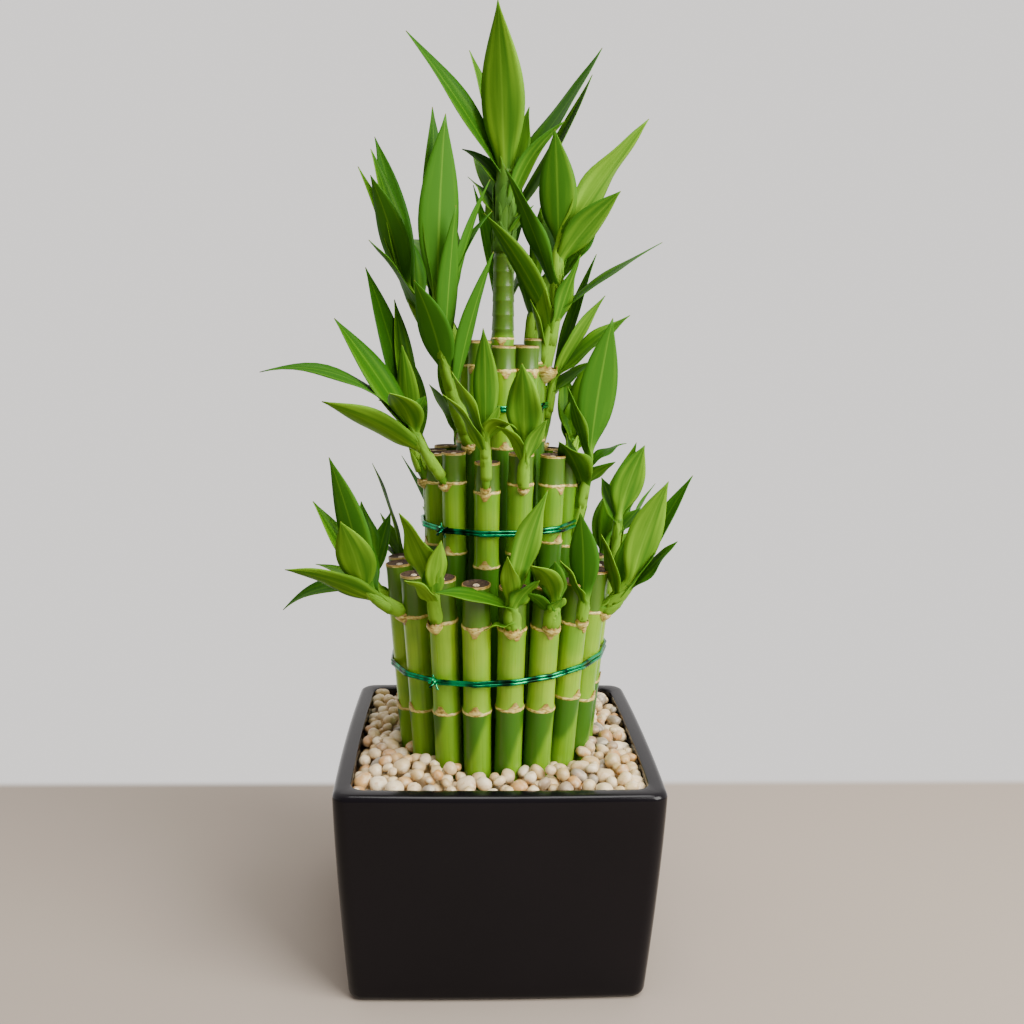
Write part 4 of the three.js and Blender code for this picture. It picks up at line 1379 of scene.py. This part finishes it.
def on_arc(start, azimuth, rise, droop, length, part):
    """Where an evenly bending line has got to after a part of its length, and its rise there."""
    turn = math.radians(droop) * part
    chord = length * part
    if abs(turn) > 1e-6:
        chord *= math.sin(turn / 2) / (turn / 2)
    return start + chord * heading(azimuth, rise - droop * part / 2), rise - droop * part


def bend(piece, degrees, low, high):
    """Bends a piece that stands on the Z axis towards +Y, between two heights."""
    heights = [vert.co.z for vert in piece.data.vertices]
    bottom, tall = min(heights), max(heights) - min(heights)
    limits = ((low - bottom) / tall, min(1, (high - bottom) / tall))
    angle = math.radians(degrees)
    apply_modifier(piece, "SIMPLE_DEFORM", deform_method="BEND", deform_axis="X", angle=angle, limits=limits)


def put(piece, place, turn):
    """Turns and moves a piece, and puts its new place into its mesh."""
    piece.matrix_world = Matrix.LocRotScale(place, turn, None)
    settle(piece)


def leaning(azimuth, rise):
    """The turn that lays a piece from the Z axis along a heading, its lower side down."""
    return Euler((math.radians(rise - 90), 0, math.radians(azimuth - 90))).to_quaternion()


class LUCKYBAMBOO_OT_shoots(bpy.types.Operator):
    """Grow the leafy shoots from the nodes of the canes"""

    bl_idname = "lucky_bamboo.shoots"
    bl_label = "Shoots"

    def execute(self, context):
        plant = context.scene.lucky_bamboo_plant
        self.thickness = plant.leaf_thickness
        self.materials = (
            leaf_material("leaf_upper_side", tinted(plant.leaf, 0.9, 0.9, 0.9), 0.40),
            # The under side is paler: partly its own paler green and partly painted light that stands in for
            # light shining through the blade.
            leaf_material("leaf_under_side", tinted(plant.leaf, 1.9, 1.55, 2.8), 0.44),
            stem_material(plant.leaf),
            bpy.data.materials["dry_husk"],
        )
        self.husk_pocket = husk_pocket_pattern()
        for name, habit in SHOOTS.items():
            in_one_with_cane = name.startswith("outer_cane")
            node = name.removesuffix("_shoot") if in_one_with_cane else name
            self.grow(name, node, {**habit, "scale": 1})
        for tier_name, cane, azimuth, like, scale in REPEATED_SHOOTS:
            node = f"{tier_name}_cane_{cane:02}"
            height = TIERS[tier_name]["nodes"][1]
            placed = {"tier": tier_name, "cane": cane, "azimuth": azimuth, "height": height, "scale": scale}
            self.grow(f"{node}_shoot", node, {**SHOOTS[like], **placed})
        discard(self.husk_pocket)
        return {"FINISHED"}

    def grow(self, name, node, shoot):
        """One shoot: its stem, a husk round its foot, and its leaves."""
        chance = random.Random(name)
        tier = TIERS[shoot["tier"]]
        start = cane_point(tier, tier["angles"][shoot["cane"] - 1], shoot["height"])
        pieces = []
        if shoot["tier"] != "centre":
            out = heading(shoot["azimuth"], 0)
            pieces.append(self.foot_husk(shoot, start + tier["radius"] * MM * out, chance))
            start += 0.7 * tier["radius"] * MM * out
        length = shoot["length"] * shoot["scale"] * MM
        droop = shoot["rise"][0] - shoot["rise"][1]
        pieces.append(self.stem(shoot, start, length, droop))
        for row in shoot["leaves"]:
            pieces.append(self.leaf(shoot, row, start, length, droop, chance))
        whole = joined(pieces, f"{name}_foliage")
        finished(whole, "leaves", node)

    def own_materials(self, piece):
        """Gives a piece the shoot's four materials, in the order that every part of it has them."""
        for material in self.materials:
            piece.data.materials.append(material)

    def coat(self, piece, index):
        """Gives all of a piece one of the shoot's materials."""
        self.own_materials(piece)
        piece.data.polygons.foreach_set("material_index", [index] * len(piece.data.polygons))

    def mark_age(self, piece, shoot):
        """The crown is older than the other shoots, so its stem and sheaths are duller."""
        mark(piece, "age", float(shoot["tier"] == "centre"))

    def stem_radius(self, shoot, part):
        """A stem's radius at a part of its length. The crown's is the stoutest."""
        share = 0.86 if shoot["tier"] == "centre" else 0.68
        return (share - 0.24 * max(0, part - 0.3)) * shoot["girth"] / 2 * MM

    def stem(self, shoot, start, length, droop):
        """A tapering stem with faint rings where its first leaves fell, up to its highest leaf."""
        foot = self.stem_radius(shoot, 0)
        rings = [(foot, 0)]
        steps = max(3, round(length / (5 * MM)))
        grown = min(1, max(row[0] for row in shoot["leaves"]) - 0.05)
        for step in range(1, steps + 1):
            part = grown * step / steps
            radius = self.stem_radius(shoot, part)
            rings += [(radius, length * (part - 0.2 / steps)), (radius + 0.1 * MM, length * part)]
        rings.append((0.3 * foot, grown * length + 1 * MM))
        bpy.ops.mesh.primitive_cylinder_add(
            vertices=16, radius=foot, depth=1 * MM, location=(0, 0, -0.5 * MM))
        stem = added("stem")
        with editing(stem):
            choose(stem, "faces", lambda face: face.normal.z > 0.9)
            grow_rings(rings)
        remember_shape(stem)
        pick(stem)
        bpy.ops.object.shade_smooth()
        self.coat(stem, STEM)
        self.mark_age(stem, shoot)
        bend(stem, grown * droop, 0, grown * length)
        put(stem, start, leaning(shoot["azimuth"], shoot["rise"][0]))
        return stem

    def foot_husk(self, shoot, place, chance):
        """The torn skin that the shoot broke through, against the cane's side."""
        husk = copied(self.husk_pocket, "foot_husk")
        radius = 1.17 * shoot.get("husk", 1) * self.stem_radius(shoot, 0)
        husk.scale = (radius, radius, radius * chance.uniform(0.9, 1.15))
        husk.rotation_euler.z = chance.uniform(0, math.tau)
        settle(husk)
        self.coat(husk, STEM_HUSK)
        put(husk, place, leaning(shoot["azimuth"], 78))
        return husk

    def leaf(self, shoot, row, start, length, droop, chance):
        """One leaf: a sheath that wraps the stem and a blade that leans and bends away from it."""
        at, turn, rise, reach, width, sag, roll = row
        scale = shoot["scale"] * MM
        blade = reach * scale
        sheath = min(max(10 * MM, 0.4 * length), max(3 * MM, at * length))
        middle = max(0, at - sheath / length / 2)
        place, _ = on_arc(start, shoot["azimuth"], shoot["rise"][0], droop, length, at)
        _, stem_rise = on_arc(start, shoot["azimuth"], shoot["rise"][0], droop, length, middle)
        radius = self.stem_radius(shoot, middle) + (0.12 + 0.3 * (1 - at) + chance.uniform(0, 0.2)) * MM
        form = "spear" if width > 13 else chance.choice(("plain", "wavy", "channel"))
        half = (width / 2 if form == "spear" else 0.6 * width) * scale
        leaf = straight_leaf(sheath, blade, half, radius, form, chance.uniform(0, math.tau))
        leaf.rotation_euler.z = math.radians(roll)
        settle(leaf)
        self.own_materials(leaf)
        # Each leaf's tone is random, shifted by its shoot's brightness, which is painted shade on the tall
        # spear.
        mark(leaf, "tone", shoot.get("fresh_and_shade", 0) + 0.7 * chance.random())
        self.mark_age(leaf, shoot)
        apply_modifier(
            leaf, "SIMPLE_DEFORM", deform_method="TWIST", deform_axis="Z",
            angle=math.radians(chance.uniform(-16, 16)), limits=(sheath / (sheath + blade), 1))
        bend(leaf, sag, 0, blade)
        self.lean_out(leaf, place, heading(shoot["azimuth"], stem_rise), shoot["azimuth"] + turn, rise)
        apply_modifier(
            leaf, "SOLIDIFY", thickness=self.thickness, offset=-1, material_offset=LEAF_UNDER,
            material_offset_rim=LEAF_UNDER)
        return leaf

    def lean_out(self, leaf, place, along_stem, azimuth, rise):
        """Kinks a leaf at its sheath's mouth: the sheath follows the stem, and the blade its own way."""
        outwards = heading(azimuth, rise)
        kink = along_stem.angle(outwards)
        axis = along_stem.cross(outwards).normalized()
        halfway = Quaternion(axis, -kink / 2) @ leaning(azimuth, rise)
        side = halfway.inverted() @ axis.cross((along_stem + outwards).normalized())
        swivel = math.atan2(-side.x, side.y)
        leaf.rotation_euler.z = -swivel
        settle(leaf)
        bend(leaf, math.degrees(kink), -NECK, NECK)
        put(leaf, place, halfway @ Quaternion((0, 0, 1), swivel))


# ---------- stage ----------

# The camera looks slightly down on the plant from a little left of its middle. The angles are in degrees.
CAMERA_PLACE = (-0.0182, -0.487, RIM + 0.193)
CAMERA_PAN = -2.8
CAMERA_DOWN = 9.9
CAMERA_ROLL = 1.03
LIT_PLACE = (0, 0, 0.2)  # what both lamps point at


def area_light(name, place, size, power, colour):
    """A soft square light that faces the plant."""
    bpy.ops.object.light_add(type="AREA", location=place)
    light = bpy.context.view_layer.objects.active
    light.name = name
    light.rotation_euler = (Vector(LIT_PLACE) - Vector(place)).to_track_quat("-Z", "Y").to_euler()
    light.data.size = size
    light.data.energy = power
    light.data.color = colour


class LUCKYBAMBOO_OT_stage(bpy.types.Operator):
    """Set up a pale floor, soft light and the camera"""

    bl_idname = "lucky_bamboo.stage"
    bl_label = "Stage"

    def execute(self, context):
        settings = context.scene.lucky_bamboo_stage
        bpy.ops.mesh.primitive_plane_add(size=30, location=(0, 0, 0))
        floor = added("pale_counter")
        floor.data.materials.append(floor_material(settings))
        context.scene.world = room_world(settings)
        area_light("window", (0.75, -0.65, 0.75), 0.8, 32, (1.0, 0.98, 0.94))
        area_light("ceiling", (0.1, -0.25, 1.3), 0.7, 14, (1.0, 0.99, 0.97))
        self.place_camera(context, settings)
        return {"FINISHED"}

    def place_camera(self, context, settings):
        """Puts the camera in its place and makes it the scene's own."""
        bpy.ops.object.camera_add(location=CAMERA_PLACE)
        camera = context.view_layer.objects.active
        camera.name = "camera"
        camera.data.lens = settings.lens
        pan = Matrix.Rotation(math.radians(CAMERA_PAN), 4, "Z")
        pitch = Matrix.Rotation(math.radians(90 - CAMERA_DOWN), 4, "X")
        roll = Matrix.Rotation(math.radians(CAMERA_ROLL), 4, "Z")
        camera.rotation_euler = (pan @ pitch @ roll).to_euler()
        context.scene.camera = camera


class LUCKYBAMBOO_PT_tower(bpy.types.Panel):
    """Sizes, colours and the steps that build the tower"""

    bl_idname = "LUCKYBAMBOO_PT_tower"
    bl_label = "Lucky Bamboo"
    bl_space_type = "VIEW_3D"
    bl_region_type = "UI"
    bl_category = "Lucky Bamboo"

    def draw(self, context):
        for name in SETTINGS:
            box = self.layout.box()
            settings = getattr(context.scene, name)
            for key in settings.bl_rna.properties.keys():
                if key not in {"rna_type", "name"}:
                    box.prop(settings, key)
        for step in STEPS:
            self.layout.operator(step.bl_idname)


# ---------- the add-on ----------

SETTINGS = {
    "lucky_bamboo_stage": StageSettings,
    "lucky_bamboo_pot": PotSettings,
    "lucky_bamboo_pebbles": PebbleSettings,
    "lucky_bamboo_plant": PlantSettings,
}
STEPS = (
    LUCKYBAMBOO_OT_stage,
    LUCKYBAMBOO_OT_pot,
    LUCKYBAMBOO_OT_pebbles,
    LUCKYBAMBOO_OT_canes,
    LUCKYBAMBOO_OT_ties,
    LUCKYBAMBOO_OT_shoots,
)


def register():
    for kind in (*SETTINGS.values(), *STEPS, LUCKYBAMBOO_PT_tower):
        bpy.utils.register_class(kind)
    for name, kind in SETTINGS.items():
        setattr(bpy.types.Scene, name, PointerProperty(type=kind))


def unregister():
    for name in SETTINGS:
        delattr(bpy.types.Scene, name)
    for kind in reversed((*SETTINGS.values(), *STEPS, LUCKYBAMBOO_PT_tower)):
        bpy.utils.unregister_class(kind)


def main():
    """Builds everything."""
    register()
    bpy.ops.lucky_bamboo.stage()
    bpy.ops.lucky_bamboo.pot()
    bpy.ops.lucky_bamboo.pebbles()
    bpy.ops.lucky_bamboo.canes()
    bpy.ops.lucky_bamboo.ties()
    bpy.ops.lucky_bamboo.shoots()


if __name__ == "__main__":
    main()
